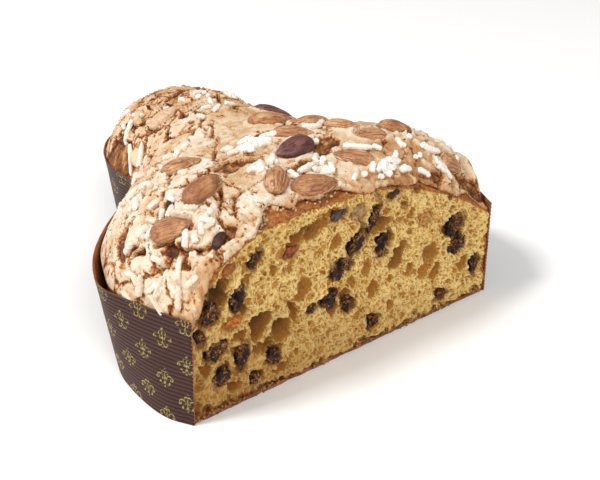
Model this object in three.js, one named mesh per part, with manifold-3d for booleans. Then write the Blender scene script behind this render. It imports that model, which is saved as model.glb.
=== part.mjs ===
// A cut colomba: the head end and both wings of a dove-shaped Easter cake, in its paper case.
// Millimetres, +Z up. While the shapes are made, y = 0 is the cut face and the head points to +y.
// The group then shifts the whole so that its origin is the middle of the flat base.
import * as THREE from 'three';
import * as BufferGeometryUtils from 'three/addons/utils/BufferGeometryUtils.js';
import Module from 'manifold-3d';

const wasm = await Module();
wasm.setup();

// ---- driving dimensions -------------------------------------------------------------------

const CASE_HEIGHT = 55;
const PAPER = 0.7;            // thickness of the case's paper
const GAP = 0.35;             // clearance between pieces that touch
const CAKE_EDGE = 50;         // height at which the crumb leaves the case's wall
const GLAZE = 3;              // thickness of the baked glaze
const GLAZE_STEP = 1.1;       // height of the glaze's broken plates
const CRACK_DEPTH = 2.2;
const CRACK_WIDTH = 4.5;
const LEAD = 14;              // how far every shape runs past the cut before it is cut off
const LEAN = 0.6;             // how fast the rim would close in past the cut, per mm
const STEPS = 2;              // pieces of outline between two of its points
const CRUMB_COLUMNS = 10;     // pieces of the crumb's and the glaze's top from side to side
const GLAZE_COLUMNS = 34;
const DEPTH = 211;            // from the cut to the tip of the head

// Half outlines from the cut to the tip of the head: half width, distance from the cut.
const RIM_HALF = [
  [91, 0], [97, 15], [104, 32], [109, 48], [106, 62], [98, 78], [84, 96], [66, 114],
  [53, 127.2], [48, 140.7], [49, 154.1], [47, 169.6], [40, 186.2], [27, 200.7], [0, DEPTH],
];
const BASE_HALF = [
  [93, 0], [100, 12], [103, 28], [103, 48], [99, 63], [90, 80], [76, 97], [60, 113],
  [48, 127], [43.5, 140], [44, 153], [42, 167], [35, 181], [22, 194], [0, 201],
];

// How high the top rises over the case at distances from the cut, and how fast it rises there.
const RISE = [[0, 39.3], [40, 48.7], [80, 45.9], [120, 44.6], [170, 38.1]];
const SHOULDER = { cutLeft: 11, cutRight: 45, slope: 24, frontRight: 14, left: 19, right: 31, head: 13.7 };
// The right wing's front corner swells up behind the case: how high, where it starts and peaks
// inwards from the rim, and between which distances from the cut and from the middle.
const BULGE = { high: 9, starts: 1.7, peak: 3, from: [3, 13], to: [34, 50], side: [62, 84] };
const DOME_REACH = 90;        // the distance from the rim at which the top is fully up

// Almonds with their skin on: place, heading of the pointed end, length, how far they stand out.
const ALMONDS = [
  { at: [-82, 27], heading: -28, length: 20, out: 1.6 },
  { at: [-62, 34], heading: 20, length: 22, out: 1.8 },
  { at: [-55, 64], heading: -34, length: 20, out: 1.2 },
  { at: [7, 81], heading: -13, length: 24, out: 1.6 },
  { at: [27, 107], heading: -25, length: 22, out: 1.6 },
  { at: [2, 54], heading: -45, length: 21, out: 1.2 },
  { at: [-9, 38], heading: -174, length: 22, out: 1.8 },
  { at: [-31, 22], heading: 52, length: 20, out: 2.2 },
  { at: [-17, 12], heading: -10, length: 23, out: 1.2 },
  { at: [13, 21], heading: 138, length: 20, out: 0.8 },
  { at: [22, 67], heading: 150, length: 20, out: 1.0 },
  { at: [27, 47], heading: -60, length: 19, out: 1.8 },
  { at: [53, 37], heading: -16, length: 19, out: 1.8 },
  { at: [34, 34], heading: 165, length: 19, out: 0.2 },
  { at: [73, 15], heading: -30, length: 19, out: 0.4 },
  { at: [-24, 138], heading: -5, length: 19, out: 0.8 },
  { at: [-42, 136], heading: -104, length: 18, out: 0.2 },
];
const ALMOND_WIDTH = 0.55;    // of its length
// Raisins bared where the glaze has cracked, in the same way.
const RAISINS = [
  { at: [-77, 36], heading: 60, length: 9, out: 1.0 },
  { at: [-71, 7], heading: 30, length: 9, out: 1.0 },
];
const ALMOND_THICK = 0.34;

// Dark chocolate on the cut face: middle (across, up), width, height, turn.
const CHOCOLATE = [
  [-81, 54, 9, 9, 0], [-66, 56, 6, 13, -20], [-86, 44, 5, 7, 10], [-79, 34, 11, 8, 20],
  [-65, 25, 6, 14, -8], [-76, 19, 7, 12, -25], [-48, 18, 8, 8, 0], [-58, 10, 7, 6, 30],
  [-57, 73, 4.5, 9, -25], [0, 62, 7, 14, -32], [-9, 51, 12, 7, 20], [10, 71, 4, 14, -20],
  [17, 55, 7, 11, -15], [-15, 36, 9, 7, 25], [-4, 29, 7, 7, 0], [-26, 35, 5, 4, 0],
  [13, 11, 6, 7, -15], [66, 49, 13, 8, 35], [69, 37, 9, 10, 10], [84, 20, 6, 10, 0],
  [60, 9, 7, 4, 10],
];
// Raisins and candied peel on the cut face, in the same way.
const FRUIT = [
  [-11, 80, 11, 5, 15], [1, 77, 7, 8, -25], [-69, 45, 9, 5, 15], [-38, 70, 9, 5, 20],
  [44, 60, 8, 7, 0], [-70, 73, 8, 4, 25], [22, 80.5, 8, 4, 10],
];
const PIECE_DEPTH = 7;        // how far those pieces reach into the crumb

// Large pores on the cut face: middle (across, up), width, height, turn.
const PORES = [
  [-75, 61, 9, 14, -10], [-31, 77, 18, 5, 22], [-17, 83, 9, 3.5, 22], [16, 67, 11, 6, 10],
  [28, 45, 9, 14, -28], [12, 31, 6, 10, 0], [-36, 37, 5, 12, 10], [-31, 47, 8, 11, -25],
  [-54, 38, 10, 13, -25], [-43, 30, 9, 12, -10], [-66, 37, 7, 6, 0], [-61, 64, 5, 9, -20],
  [38, 75, 5, 7, 15], [50, 38, 9, 10, -25], [46, 29, 10, 7, 20], [75, 24, 8, 8, 0],
  [55, 25, 7, 11, -15], [24, 17, 5.5, 6, 0], [3, 20, 6, 7, 0], [-47, 64, 3.5, 5, 0],
];
const PORE_DEPTH = 5;
const LUMP_SIDES = 8;         // corners of a piece or a pore on the cut face
const LUMPINESS = 0.16;

// The deepest cracks of the glaze, in plan.
const CRACKS = [
  [[-101, 41], [-90, 29], [-85, 17], [-78, 6]],
  [[-89, 63], [-97, 54]],
  [[-92, 60], [-85, 45], [-70, 52], [-47, 51], [-31, 72], [-15, 82], [-3, 99]],
  [[-51, 99], [-38, 96], [-37, 67]],
  [[-40, 158], [-26, 141], [-15, 147]],
  [[-18, 128], [-15, 104], [-19, 86], [-35, 68]],
  [[37, 29], [34, 13], [46, 7]],
  [[9, 44], [11, 36], [-4, 24]],
  [[66, 70], [40, 84], [34, 60], [52, 52]],
  [[30, 140], [12, 158], [20, 176]],
  [[76, 50], [92, 40], [88, 24]],
];

// Where the glaze has flaked back from the cut: across, how far back, how wide.
const FLAKED = [[-72, 7, 9], [-40, 9, 22], [-8, 5, 12], [22, 3, 12], [48, 4, 14]];
const FLAKED_LEAST = 1;

// Sugar nibs lie in drifts: middle in plan, spread, how many, mean heading.
const DRIFTS = [
  [-84, 34, 8, 3, 60], [-72, 21, 10, 7, 40], [-88, 12, 7, 3, 80], [-99, 26, 9, 3, 70],
  [-72, 62, 10, 3, 10], [-50, 84, 9, 3, 50], [-18, 56, 12, 7, 0], [-28, 34, 7, 3, 20],
  [-4, 22, 7, 3, 0], [14, 9, 10, 5, 0], [27, 12, 7, 6, 30], [27, 24, 5, 1, -20],
  [44, 30, 12, 5, -30], [60, 14, 12, 6, -25], [79, 24, 9, 3, -40], [64, 44, 12, 2, 10],
  [40, 62, 12, 2, 30], [-2, 118, 10, 3, 40], [-2, 148, 16, 3, 10], [-28, 158, 10, 2, 50],
  [18, 180, 12, 2, 0], [60, 84, 10, 2, 60], [-63, 112, 7, 1, 20],
];
const NIB_RADIUS = 1.25;
const NIB_LENGTH = [3.5, 9];
const NIB_SIDES = 5;

// ---- materials ----------------------------------------------------------------------------

const material = (color, roughness) => new THREE.MeshStandardMaterial({ color, roughness, metalness: 0 });
const CRUMB_LOOK = material(0xd9ae55, 0.9);
const GLAZE_LOOK = material(0xe6cba4, 0.8);
const ALMOND_LOOK = material(0x9a6446, 0.6);
const DARK_ALMOND_LOOK = material(0x5a2f2b, 0.6);
const CHOCOLATE_LOOK = material(0x3a2219, 0.6);
const FRUIT_LOOK = material(0x8a5a34, 0.5);
const PAPER_LOOK = material(0x3b2a2b, 0.75);

// ---- small helpers ------------------------------------------------------------------------

const { clamp, degToRad, lerp, seededRandom, smoothstep } = THREE.MathUtils;
const draw = (low, high) => lerp(low, high, seededRandom());
seededRandom(7);

// Linear interpolation in a list of [position, value].
function along(list, at) {
  const last = list.length - 1;
  let i = 0;
  while (i < last - 1 && at > list[i + 1][0]) i += 1;
  const part = clamp((at - list[i][0]) / (list[i + 1][0] - list[i][0]), 0, 1);
  return lerp(list[i][1], list[i + 1][1], part);
}

function distanceToLine(points, x, y) {
  let least = Infinity;
  for (let i = 0; i + 1 < points.length; i += 1) {
    const [ax, ay] = points[i];
    const [bx, by] = points[i + 1];
    const [dx, dy] = [bx - ax, by - ay];
    const part = clamp(((x - ax) * dx + (y - ay) * dy) / (dx * dx + dy * dy), 0, 1);
    least = Math.min(least, Math.hypot(x - ax - part * dx, y - ay - part * dy));
  }
  return least;
}

// Soft unevenness between -1 and 1, the same at every call.
function unevenness(x, y, z = 0) {
  const coarse = Math.sin(0.33 * x + 1.7 * Math.sin(0.21 * y + z)) * Math.cos(0.29 * y + 0.4 * z);
  const fine = Math.sin(0.83 * x - 0.61 * y + 2 * z);
  return 0.65 * coarse + 0.35 * fine;
}

// Collects welded vertices and faces, and drops faces that have no area.
class Shell {
  constructor() {
    this.found = new Map();
    this.points = [];
    this.faces = [];
  }

  vertex(x, y, z) {
    const key = [x, y, z].map((value) => value.toFixed(4)).join(' ');
    if (!this.found.has(key)) {
      this.found.set(key, this.points.length / 3);
      this.points.push(x, y, z);
    }
    return this.found.get(key);
  }

  face(a, b, c) {
    if (a !== b && b !== c && c !== a) this.faces.push(a, b, c);
  }

  quad(a, b, c, d) {
    this.face(a, b, c);
    this.face(a, c, d);
  }

  solid() {
    const vertProperties = new Float32Array(this.points);
    const triVerts = new Uint32Array(this.faces);
    return new wasm.Manifold(new wasm.Mesh({ numProp: 3, vertProperties, triVerts }));
  }
}

function solidOf(geometry) {
  const bare = geometry.clone();
  bare.deleteAttribute('normal');
  bare.deleteAttribute('uv');
  const welded = BufferGeometryUtils.mergeVertices(bare, 1e-4);
  const shell = new Shell();
  const place = welded.getAttribute('position');
  const ids = [];
  for (let i = 0; i < place.count; i += 1) ids.push(shell.vertex(place.getX(i), place.getY(i), place.getZ(i)));
  const order = welded.getIndex();
  for (let i = 0; i < order.count; i += 3) {
    shell.face(ids[order.getX(i)], ids[order.getX(i + 1)], ids[order.getX(i + 2)]);
  }
  return shell.solid();
}

function geometryOf(solid) {
  const mesh = solid.getMesh();
  const geometry = new THREE.BufferGeometry();
  geometry.setAttribute('position', new THREE.BufferAttribute(mesh.vertProperties, 3));
  geometry.setIndex(new THREE.BufferAttribute(mesh.triVerts, 1));
  geometry.computeVertexNormals();
  return geometry;
}

// The body itself, without scraps and without hollows that joining has sealed.
function largestPiece(solid) {
  const pieces = solid.decompose();
  return pieces.reduce((best, piece) => (piece.volume() > best.volume() ? piece : best));
}

// ---- outline ------------------------------------------------------------------------------

// A smooth half outline, with one more point that leads past the cut.
function halfOutline(points) {
  const right = points.map(([x, y]) => new THREE.Vector2(x, y));
  const left = right.slice(0, -1).reverse().map((point) => new THREE.Vector2(-point.x, point.y));
  const curve = new THREE.SplineCurve([...right, ...left]);
  const count = (points.length - 1) * STEPS;
  const half = Array.from({ length: count + 1 }, (_, i) => curve.getPoint(i / (2 * count)));
  const lead = half[0].clone().sub(half[1]).setLength(LEAD).add(half[0]);
  return [lead, ...half];
}

const RIM = halfOutline(RIM_HALF);
const BASE = halfOutline(BASE_HALF);

// The case's half outline at a height, moved inwards.
function ring(z, inset) {
  const half = BASE.map((point, i) => point.clone().lerp(RIM[i], z / CASE_HEIGHT));
  return half.map((point, i) => {
    const before = half[Math.max(i - 1, 0)];
    const after = half[i + 1] ?? new THREE.Vector2(-before.x, before.y);
    const run = after.clone().sub(before).normalize();
    return new THREE.Vector2(point.x - run.y * inset, point.y + run.x * inset);
  });
}

// ---- the shape of the top -----------------------------------------------------------------

const RIM_LINE = (() => {
  const right = RIM.slice(1).map((point) => [point.x, point.y]);
  const left = right.slice(0, -1).reverse().map(([x, y]) => [-x, y]);
  const closed = [right[0][0] - LEAN * DOME_REACH, -DOME_REACH];
  return [closed, ...right, ...left, [-closed[0], closed[1]]];
})();

// Length over which the top rises behind the rim: short at a steep shoulder, long on a soft slope.
function shoulder(x, y) {
  const toRight = smoothstep(x, -40, 70);
  const frontRight = lerp(SHOULDER.cutRight, SHOULDER.frontRight, smoothstep(y, 0, SHOULDER.slope));
  const front = lerp(SHOULDER.cutLeft, frontRight, toRight);
  const wings = lerp(SHOULDER.left, SHOULDER.right, toRight);
  const body = lerp(front, wings, smoothstep(y, 10, 60));
  return lerp(body, SHOULDER.head, smoothstep(y, 90, 140));
}

function bulge(x, y, fromRim) {
  const share = Math.max(0, fromRim - BULGE.starts) / BULGE.peak;
  const here = smoothstep(y, ...BULGE.from) * (1 - smoothstep(y, ...BULGE.to)) * smoothstep(x, ...BULGE.side);
  return BULGE.high * here * share ** 2 * Math.exp(2 * (1 - share));
}

// Height of the top, or of a surface that lies a skin's thickness inside it.
function topHeight(x, y, skin = 0) {
  const fromRim = distanceToLine(RIM_LINE, x, y);
  const inwards = Math.max(0, fromRim - skin);
  const length = shoulder(x, y);
  const share = (1 - Math.exp(-inwards / length)) / (1 - Math.exp(-DOME_REACH / length));
  return CAKE_EDGE + (along(RISE, Math.max(y, 0)) - skin) * share + bulge(x, y, fromRim);
}

// The glaze's outer surface: uneven plates with cracks between them.
function glazeHeight(x, y) {
  const inwards = smoothstep(distanceToLine(RIM_LINE, x, y), 0, 12);
  const crack = Math.min(...CRACKS.map((line) => distanceToLine(line, x, y)));
  const valley = CRACK_DEPTH * Math.exp(-((crack / CRACK_WIDTH) ** 2));
  const plates = GLAZE_STEP * unevenness(x, y) * (1 - valley / CRACK_DEPTH);
  return topHeight(x, y) + inwards * (plates - valley);
}

// ---- solids of the cake and its case ------------------------------------------------------

// A closed block over the outline: a flat base, walls through the rings, and a top surface.
function block(rings, height, columns = 1) {
  const levels = rings.map(({ z, inset }) => ring(z, inset));
  const shell = new Shell();
  const last = levels.length - 1;
  const across = (i, j) => Math.sin((Math.PI / 2) * ((2 * j) / columns - 1)) * levels[last][i].x;
  const onTop = (i, j) => shell.vertex(across(i, j), levels[last][i].y, height(across(i, j), levels[last][i].y));
  const onWall = (level, i, side) => {
    if (level === last) return onTop(i, side > 0 ? columns : 0);
    return shell.vertex(side * levels[level][i].x, levels[level][i].y, rings[level].z);
  };
  const count = levels[0].length;
  for (let i = 0; i + 1 < count; i += 1) {
    shell.quad(onWall(0, i, -1), onWall(0, i + 1, -1), onWall(0, i + 1, 1), onWall(0, i, 1));
    for (let j = 0; j < columns; j += 1) {
      shell.quad(onTop(i, j), onTop(i, j + 1), onTop(i + 1, j + 1), onTop(i + 1, j));
    }
    for (let k = 0; k < last; k += 1) {
      shell.quad(onWall(k, i, 1), onWall(k, i + 1, 1), onWall(k + 1, i + 1, 1), onWall(k + 1, i, 1));
      shell.quad(onWall(k, i, -1), onWall(k + 1, i, -1), onWall(k + 1, i + 1, -1), onWall(k, i + 1, -1));
    }
  }
  const walls = levels.slice(0, -1).map((_, k) => k);
  const topLine = Array.from({ length: columns + 1 }, (_, j) => onTop(0, columns - j));
  const edge = [
    ...walls.map((k) => onWall(k, 0, 1)),
    ...topLine,
    ...walls.reverse().map((k) => onWall(k, 0, -1)),
  ];
  const middle = shell.vertex(0, levels[0][0].y, (rings[0].z + height(0, levels[last][0].y)) / 2);
  edge.forEach((corner, i) => shell.face(middle, corner, edge[(i + 1) % edge.length]));
  return shell.solid();
}

// Everything in front of the cut, to take away, with an edge at the given distance behind it.
function inFront(edgeAt = () => 0, steps = 1) {
  const [half, reach] = [DEPTH, DEPTH];
  const outline = new THREE.Shape();
  outline.moveTo(-half, -reach);
  outline.lineTo(half, -reach);
  for (let i = steps; i >= 0; i -= 1) {
    const x = lerp(-half, half, i / steps);
    outline.lineTo(x, edgeAt(x));
  }
  const slab = new THREE.ExtrudeGeometry(outline, { depth: 2 * reach, bevelEnabled: false });
  return solidOf(slab.translate(0, 0, -reach));
}

const SIDE = PAPER + GAP;     // from the outside of the case to the cake
const CAKE_BASE = PAPER + GAP;

function caseSolid() {
  const outer = block([{ z: 0, inset: 0 }, { z: CASE_HEIGHT, inset: 0 }], () => CASE_HEIGHT);
  const above = CASE_HEIGHT + 5;
  const inner = block([{ z: PAPER, inset: PAPER }, { z: above, inset: PAPER }], () => above);
  return outer.subtract(inner).subtract(inFront());
}

// The crumb, or the space that it needs when the clearance is given.
function crumbBlock(clearance = 0) {
  const skin = GLAZE - clearance;
  const rings = [{ z: CAKE_BASE, inset: SIDE }, { z: CAKE_EDGE, inset: SIDE }];
  const height = (x, y) => topHeight(x, y, skin) + clearance;
  return block(rings, height, CRUMB_COLUMNS);
}

function flakedBack(x) {
  const bites = FLAKED.map(([at, back, wide]) => back * Math.exp(-(((x - at) / wide) ** 2)));
  return FLAKED_LEAST + Math.max(...bites) + 0.6 * unevenness(2 * x, 0);
}

function glazeSkin() {
  const under = CAKE_EDGE + GAP;
  const rings = [{ z: under, inset: SIDE }, { z: under + 2, inset: SIDE }];
  const outer = block(rings, glazeHeight, GLAZE_COLUMNS);
  return outer.subtract(inFront(flakedBack, 60));
}

// ---- almonds ------------------------------------------------------------------------------

// A pointed, flattened drop along +x, grown by a clearance where one is given.
function almondGeometry(length, grow = 0, detail = 1) {
  const drop = new THREE.IcosahedronGeometry(1, detail);
  const place = drop.getAttribute('position');
  for (let i = 0; i < place.count; i += 1) {
    const u = place.getX(i);
    const taper = 1 - 0.3 * u - 0.12 * u * u;
    const x = u * (length / 2 + grow);
    const y = place.getY(i) * taper * ((ALMOND_WIDTH * length) / 2 + grow);
    place.setXYZ(i, x, y, place.getZ(i) * taper * ((ALMOND_THICK * length) / 2 + grow));
  }
  return drop;
}

// Lies on the top, its flat side along the surface there.
function almondPlace({ at: [x, y], heading, length, out }) {
  const step = length / 4;
  const slopeX = (topHeight(x + step, y) - topHeight(x - step, y)) / (2 * step);
  const slopeY = (topHeight(x, y + step) - topHeight(x, y - step)) / (2 * step);
  const up = new THREE.Vector3(-slopeX, -slopeY, 1).normalize();
  const turn = degToRad(heading);
  const ahead = new THREE.Vector3(Math.cos(turn), Math.sin(turn), 0).projectOnPlane(up).normalize();
  const aside = new THREE.Vector3().crossVectors(up, ahead);
  const place = new THREE.Vector3(x, y, topHeight(x, y)).addScaledVector(up, out);
  return new THREE.Matrix4().makeBasis(ahead, aside, up).setPosition(place);
}

const seat = (almond, detail = 1) => {
  const geometry = almondGeometry(almond.length, 1.3 * GAP, detail);
  return solidOf(geometry.applyMatrix4(almondPlace(almond)));
};
const RAISIN_DETAIL = 0;
const allSeats = () => [...ALMONDS.map((almond) => seat(almond)), ...RAISINS.map((raisin) => seat(raisin, RAISIN_DETAIL))];

// ---- sugar --------------------------------------------------------------------------------

// A nib of sugar: a short rod with blunt ends, half sunk into the glaze.
function nibSolid(x, y, heading, length) {
  const rod = new THREE.CylinderGeometry(NIB_RADIUS, NIB_RADIUS, length, NIB_SIDES);
  rod.rotateZ(Math.PI / 2);
  const turn = degToRad(heading);
  const reach = length / 2;
  const [dx, dy] = [Math.cos(turn) * reach, Math.sin(turn) * reach];
  const ends = [1, -1].map((side) => topHeight(x + side * dx, y + side * dy));
  rod.rotateY(-Math.atan2(ends[0] - ends[1], length));
  rod.rotateZ(turn);
  rod.translate(x, y, (ends[0] + ends[1]) / 2 + 0.5 * NIB_RADIUS);
  return solidOf(rod);
}

function clearOfAlmonds(x, y, length) {
  const room = NIB_RADIUS + length / 2 + 1;
  return ALMONDS.every((almond) => {
    const turn = degToRad(almond.heading);
    const [dx, dy] = [x - almond.at[0], y - almond.at[1]];
    const ahead = dx * Math.cos(turn) + dy * Math.sin(turn);
    const aside = dy * Math.cos(turn) - dx * Math.sin(turn);
    const reach = almond.length / 2 + room;
    const width = (ALMOND_WIDTH * almond.length) / 2 + room;
    return (ahead / reach) ** 2 + (aside / width) ** 2 > 1;
  });
}

function sugarNibs() {
  const nibs = [];
  for (const [middleX, middleY, spread, count, mean] of DRIFTS) {
    let left = count;
    for (let tries = 0; left > 0 && tries < 12 * count; tries += 1) {
      const [x, y] = [middleX + draw(-spread, spread), middleY + draw(-spread, spread)];
      const heading = mean + draw(-70, 70);
      const length = draw(...NIB_LENGTH);
      const onGlaze = y - length / 2 > flakedBack(x) + NIB_RADIUS;
      const inside = distanceToLine(RIM_LINE, x, y) > SIDE + NIB_RADIUS + length / 2;
      if (!onGlaze || !inside || !clearOfAlmonds(x, y, length)) continue;
      nibs.push(nibSolid(x, y, heading, length));
      left -= 1;
    }
  }
  return nibs;
}

// ---- pieces and pores on the cut face -----------------------------------------------------

// Half a lumpy egg behind the cut, turned in its plane. A lead makes it a tool that cuts a hole.
function lump([x, z, width, height, turn], depth, { grow = 0, lead = 0 } = {}) {
  const shell = new Shell();
  const lean = degToRad(turn);
  const levels = [
    ...(lead > 0 ? [[1, -lead]] : []),
    [1, lead > 0 ? GAP / 2 : 0],
    [0.78, 0.6 * depth + grow],
  ];
  const at = ([round, back], side) => {
    const angle = (2 * Math.PI * (side % LUMP_SIDES)) / LUMP_SIDES;
    const [u, w] = [Math.cos(angle), Math.sin(angle)];
    const swell = 1 + LUMPINESS * unevenness(x + 9 * u, z + 9 * w);
    const across = u * round * ((swell * width) / 2 + grow);
    const up = w * round * ((swell * height) / 2 + grow);
    const [cosine, sine] = [Math.cos(lean), Math.sin(lean)];
    return shell.vertex(x + across * cosine - up * sine, back, z + across * sine + up * cosine);
  };
  const first = levels[0];
  const last = levels[levels.length - 1];
  const middle = shell.vertex(x, first[1], z);
  const back = shell.vertex(x, depth + grow, z);
  for (let side = 0; side < LUMP_SIDES; side += 1) {
    shell.face(middle, at(first, side), at(first, side + 1));
    shell.face(back, at(last, side + 1), at(last, side));
    for (let k = 0; k + 1 < levels.length; k += 1) {
      const [low, high] = [levels[k], levels[k + 1]];
      shell.quad(at(low, side), at(high, side), at(high, side + 1), at(low, side + 1));
    }
  }
  return shell.solid();
}

function crumbSolid() {
  const pores = PORES.map((pore) => lump(pore, Math.min(PORE_DEPTH, pore[2]), { lead: 2 }));
  const pieces = [...CHOCOLATE, ...FRUIT];
  const pockets = pieces.map((piece) => lump(piece, PIECE_DEPTH, { grow: GAP, lead: 2 }));
  const taken = wasm.Manifold.union([...pores, ...pockets, ...allSeats(), inFront()]);
  return largestPiece(crumbBlock().subtract(taken));
}

function glazeSolid() {
  const sugared = wasm.Manifold.union([glazeSkin(), ...sugarNibs()]);
  return largestPiece(sugared.subtract(wasm.Manifold.union([crumbBlock(GAP), ...allSeats()])));
}

// ---- the whole ----------------------------------------------------------------------------

const group = new THREE.Group();
group.position.set(0, -DEPTH / 2, 0);

function add(name, geometry, look) {
  const mesh = new THREE.Mesh(geometry, look);
  mesh.name = name;
  group.add(mesh);
  return mesh;
}

const numbered = (name, i) => `${name}_${String(i + 1).padStart(2, '0')}`;

add('paper_case', geometryOf(caseSolid()), PAPER_LOOK);
add('crumb', geometryOf(crumbSolid()), CRUMB_LOOK);
add('glaze', geometryOf(glazeSolid()), GLAZE_LOOK);

const DARK_ALMONDS = [4, 6];
ALMONDS.forEach((almond, i) => {
  const look = DARK_ALMONDS.includes(i) ? DARK_ALMOND_LOOK : ALMOND_LOOK;
  const mesh = add(numbered('almond', i), geometryOf(solidOf(almondGeometry(almond.length))), look);
  mesh.applyMatrix4(almondPlace(almond));
});

CHOCOLATE.forEach((piece, i) => {
  add(numbered('chocolate', i), geometryOf(lump(piece, PIECE_DEPTH)), CHOCOLATE_LOOK);
});
FRUIT.forEach((piece, i) => {
  add(numbered('fruit', i), geometryOf(lump(piece, PIECE_DEPTH)), FRUIT_LOOK);
});
RAISINS.forEach((raisin, i) => {
  const body = solidOf(almondGeometry(raisin.length, 0, RAISIN_DETAIL));
  const mesh = add(numbered('fruit', FRUIT.length + i), geometryOf(body), FRUIT_LOOK);
  mesh.applyMatrix4(almondPlace(raisin));
});

export default group;
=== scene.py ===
"""A cut colomba: the head end and both wings of a dove-shaped Easter cake, in its paper case.

Sizes are in millimetres until a mesh is made. y = 0 is the cut face while a piece is shaped, the
head points to +y, and the piece is then moved back by half the cake's depth, as the frame has it.
"""

import bmesh
import bpy
import numpy as np
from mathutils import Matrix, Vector


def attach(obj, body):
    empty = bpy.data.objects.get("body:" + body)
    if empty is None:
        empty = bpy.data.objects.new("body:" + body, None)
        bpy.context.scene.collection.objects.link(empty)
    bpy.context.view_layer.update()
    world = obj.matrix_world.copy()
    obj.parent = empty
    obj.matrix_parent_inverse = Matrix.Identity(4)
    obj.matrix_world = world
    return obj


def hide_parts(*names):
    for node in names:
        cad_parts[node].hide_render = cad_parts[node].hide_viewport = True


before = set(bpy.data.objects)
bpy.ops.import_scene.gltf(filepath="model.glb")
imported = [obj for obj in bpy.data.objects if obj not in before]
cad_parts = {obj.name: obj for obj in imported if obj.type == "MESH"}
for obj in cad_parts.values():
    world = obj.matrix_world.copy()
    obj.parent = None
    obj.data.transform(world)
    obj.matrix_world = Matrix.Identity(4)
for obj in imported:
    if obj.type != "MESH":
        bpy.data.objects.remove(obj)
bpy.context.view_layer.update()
bpy.ops.object.select_all(action="DESELECT")

# ---- the paper case -------------------------------------------------------------------------
# A baking case of corrugated brown paper, ribbed from side to side of the sheet, glued to a flat
# base and printed outside with a small gold ornament. The knife has cut it with the cake.

MM = 0.001
CASE_HEIGHT = 55.0
PAPER = 0.5
RIB_PITCH = 2.1
RIB_DEPTH = 0.24
CAKE_DEPTH = 211.0
RIM_HALF = [
    (91, 0), (97, 15), (104, 32), (109, 48), (106, 62), (98, 78), (84, 96), (66, 114), (53, 127.2),
    (48, 140.7), (49, 154.1), (47, 169.6), (40, 186.2), (27, 200.7), (0, CAKE_DEPTH),
]
BASE_HALF = [
    (93, 0), (100, 12), (103, 28), (103, 48), (99, 63), (90, 80), (76, 97), (60, 113), (48, 127),
    (43.5, 140), (44, 153), (42, 167), (35, 181), (22, 194), (0, 201),
]
TIP = len(RIM_HALF) - 1


def smooth_line(points, at):
    """Points of a Catmull-Rom line through the half outline, closed over the tip by its mirror."""
    half = np.array(points, float)
    before = 2 * half[0] - half[1]
    after = half[-2] * [-1, 1]
    knots = np.vstack([before, half, after])
    step = np.clip(np.floor(at).astype(int), 0, TIP - 1)
    t = (at - step)[..., None]
    a, b, c, d = (knots[step + k] for k in range(4))
    return 0.5 * (
        2 * b + (c - a) * t + (2 * a - 5 * b + 4 * c - d) * t**2 + (3 * b - a - 3 * c + d) * t**3
    )


def ring(z, inset, at):
    """The case's half outline at a height, moved inwards, from the cut (0) to the head (TIP)."""
    def line(where):
        low, high = smooth_line(BASE_HALF, where), smooth_line(RIM_HALF, where)
        return low + (high - low) * (np.asarray(z) / CASE_HEIGHT)[..., None]
    here = line(at)
    run = line(np.minimum(at + 0.02, TIP)) - line(np.maximum(at - 0.02, 0))
    run /= np.linalg.norm(run, axis=-1, keepdims=True)
    run = np.where((at >= TIP)[..., None], [-1.0, 0.0], run)
    inner = here + np.stack([-run[..., 1], run[..., 0]], -1) * np.asarray(inset)[..., None]
    inner[..., 1] = np.where(at <= 0, 0, inner[..., 1])
    inner[..., 0] = np.where(at >= TIP, 0, inner[..., 0])
    return inner


def shape_to(piece, points):
    """Gives a mesh its points, from millimetres before the cut to metres in the frame."""
    placed = (np.asarray(points, float).reshape(-1, 3) - [0, CAKE_DEPTH / 2, 0]) * MM
    piece.data.vertices.foreach_set("co", placed.ravel())
    piece.data.update()


def hashed(cells, seed):
    """A value between -1 and 1 for each whole-numbered cell."""
    mix = cells[..., 0] * 73856093 ^ cells[..., 1] * 19349663 ^ cells[..., 2] * 83492791
    mix = (mix ^ (seed * 2654435761)) & 0xFFFFFFFF
    with np.errstate(over="ignore"):
        mix = ((mix ^ (mix >> 15)) * 2246822519) & 0xFFFFFFFF
        mix = ((mix ^ (mix >> 13)) * 3266489917) & 0xFFFFFFFF
    return (mix ^ (mix >> 16)) / 2147483648.0 - 1.0


def lumps(points, size, seed=0, octaves=1):
    """Smooth unevenness between about -1 and 1, with lumps of a size in mm."""
    total, weight = 0.0, 0.0
    for octave in range(octaves):
        where = np.asarray(points, float) * 2**octave / size + 17.3 * octave
        cell = np.floor(where).astype(np.int64)
        part = where - cell
        part = part * part * (3 - 2 * part)
        value = 0.0
        for corner in np.ndindex(2, 2, 2):
            share = np.prod(np.where(np.array(corner, bool), part, 1 - part), axis=-1)
            value = value + share * hashed(cell + corner, seed + octave)
        total = total + value / 2**octave
        weight += 1 / 2**octave
    return total / weight


def smoothstep(low, high, value):
    part = np.clip((value - low) / (high - low), 0, 1)
    return part * part * (3 - 2 * part)


def linear(colour):
    """An sRGB hex value as a linear colour."""
    parts = [int(colour[k:k + 2], 16) / 255 for k in (1, 3, 5)]
    return [
        part / 12.92 if part <= 0.04045 else ((part + 0.055) / 1.055) ** 2.4 for part in parts
    ] + [1.0]


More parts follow.
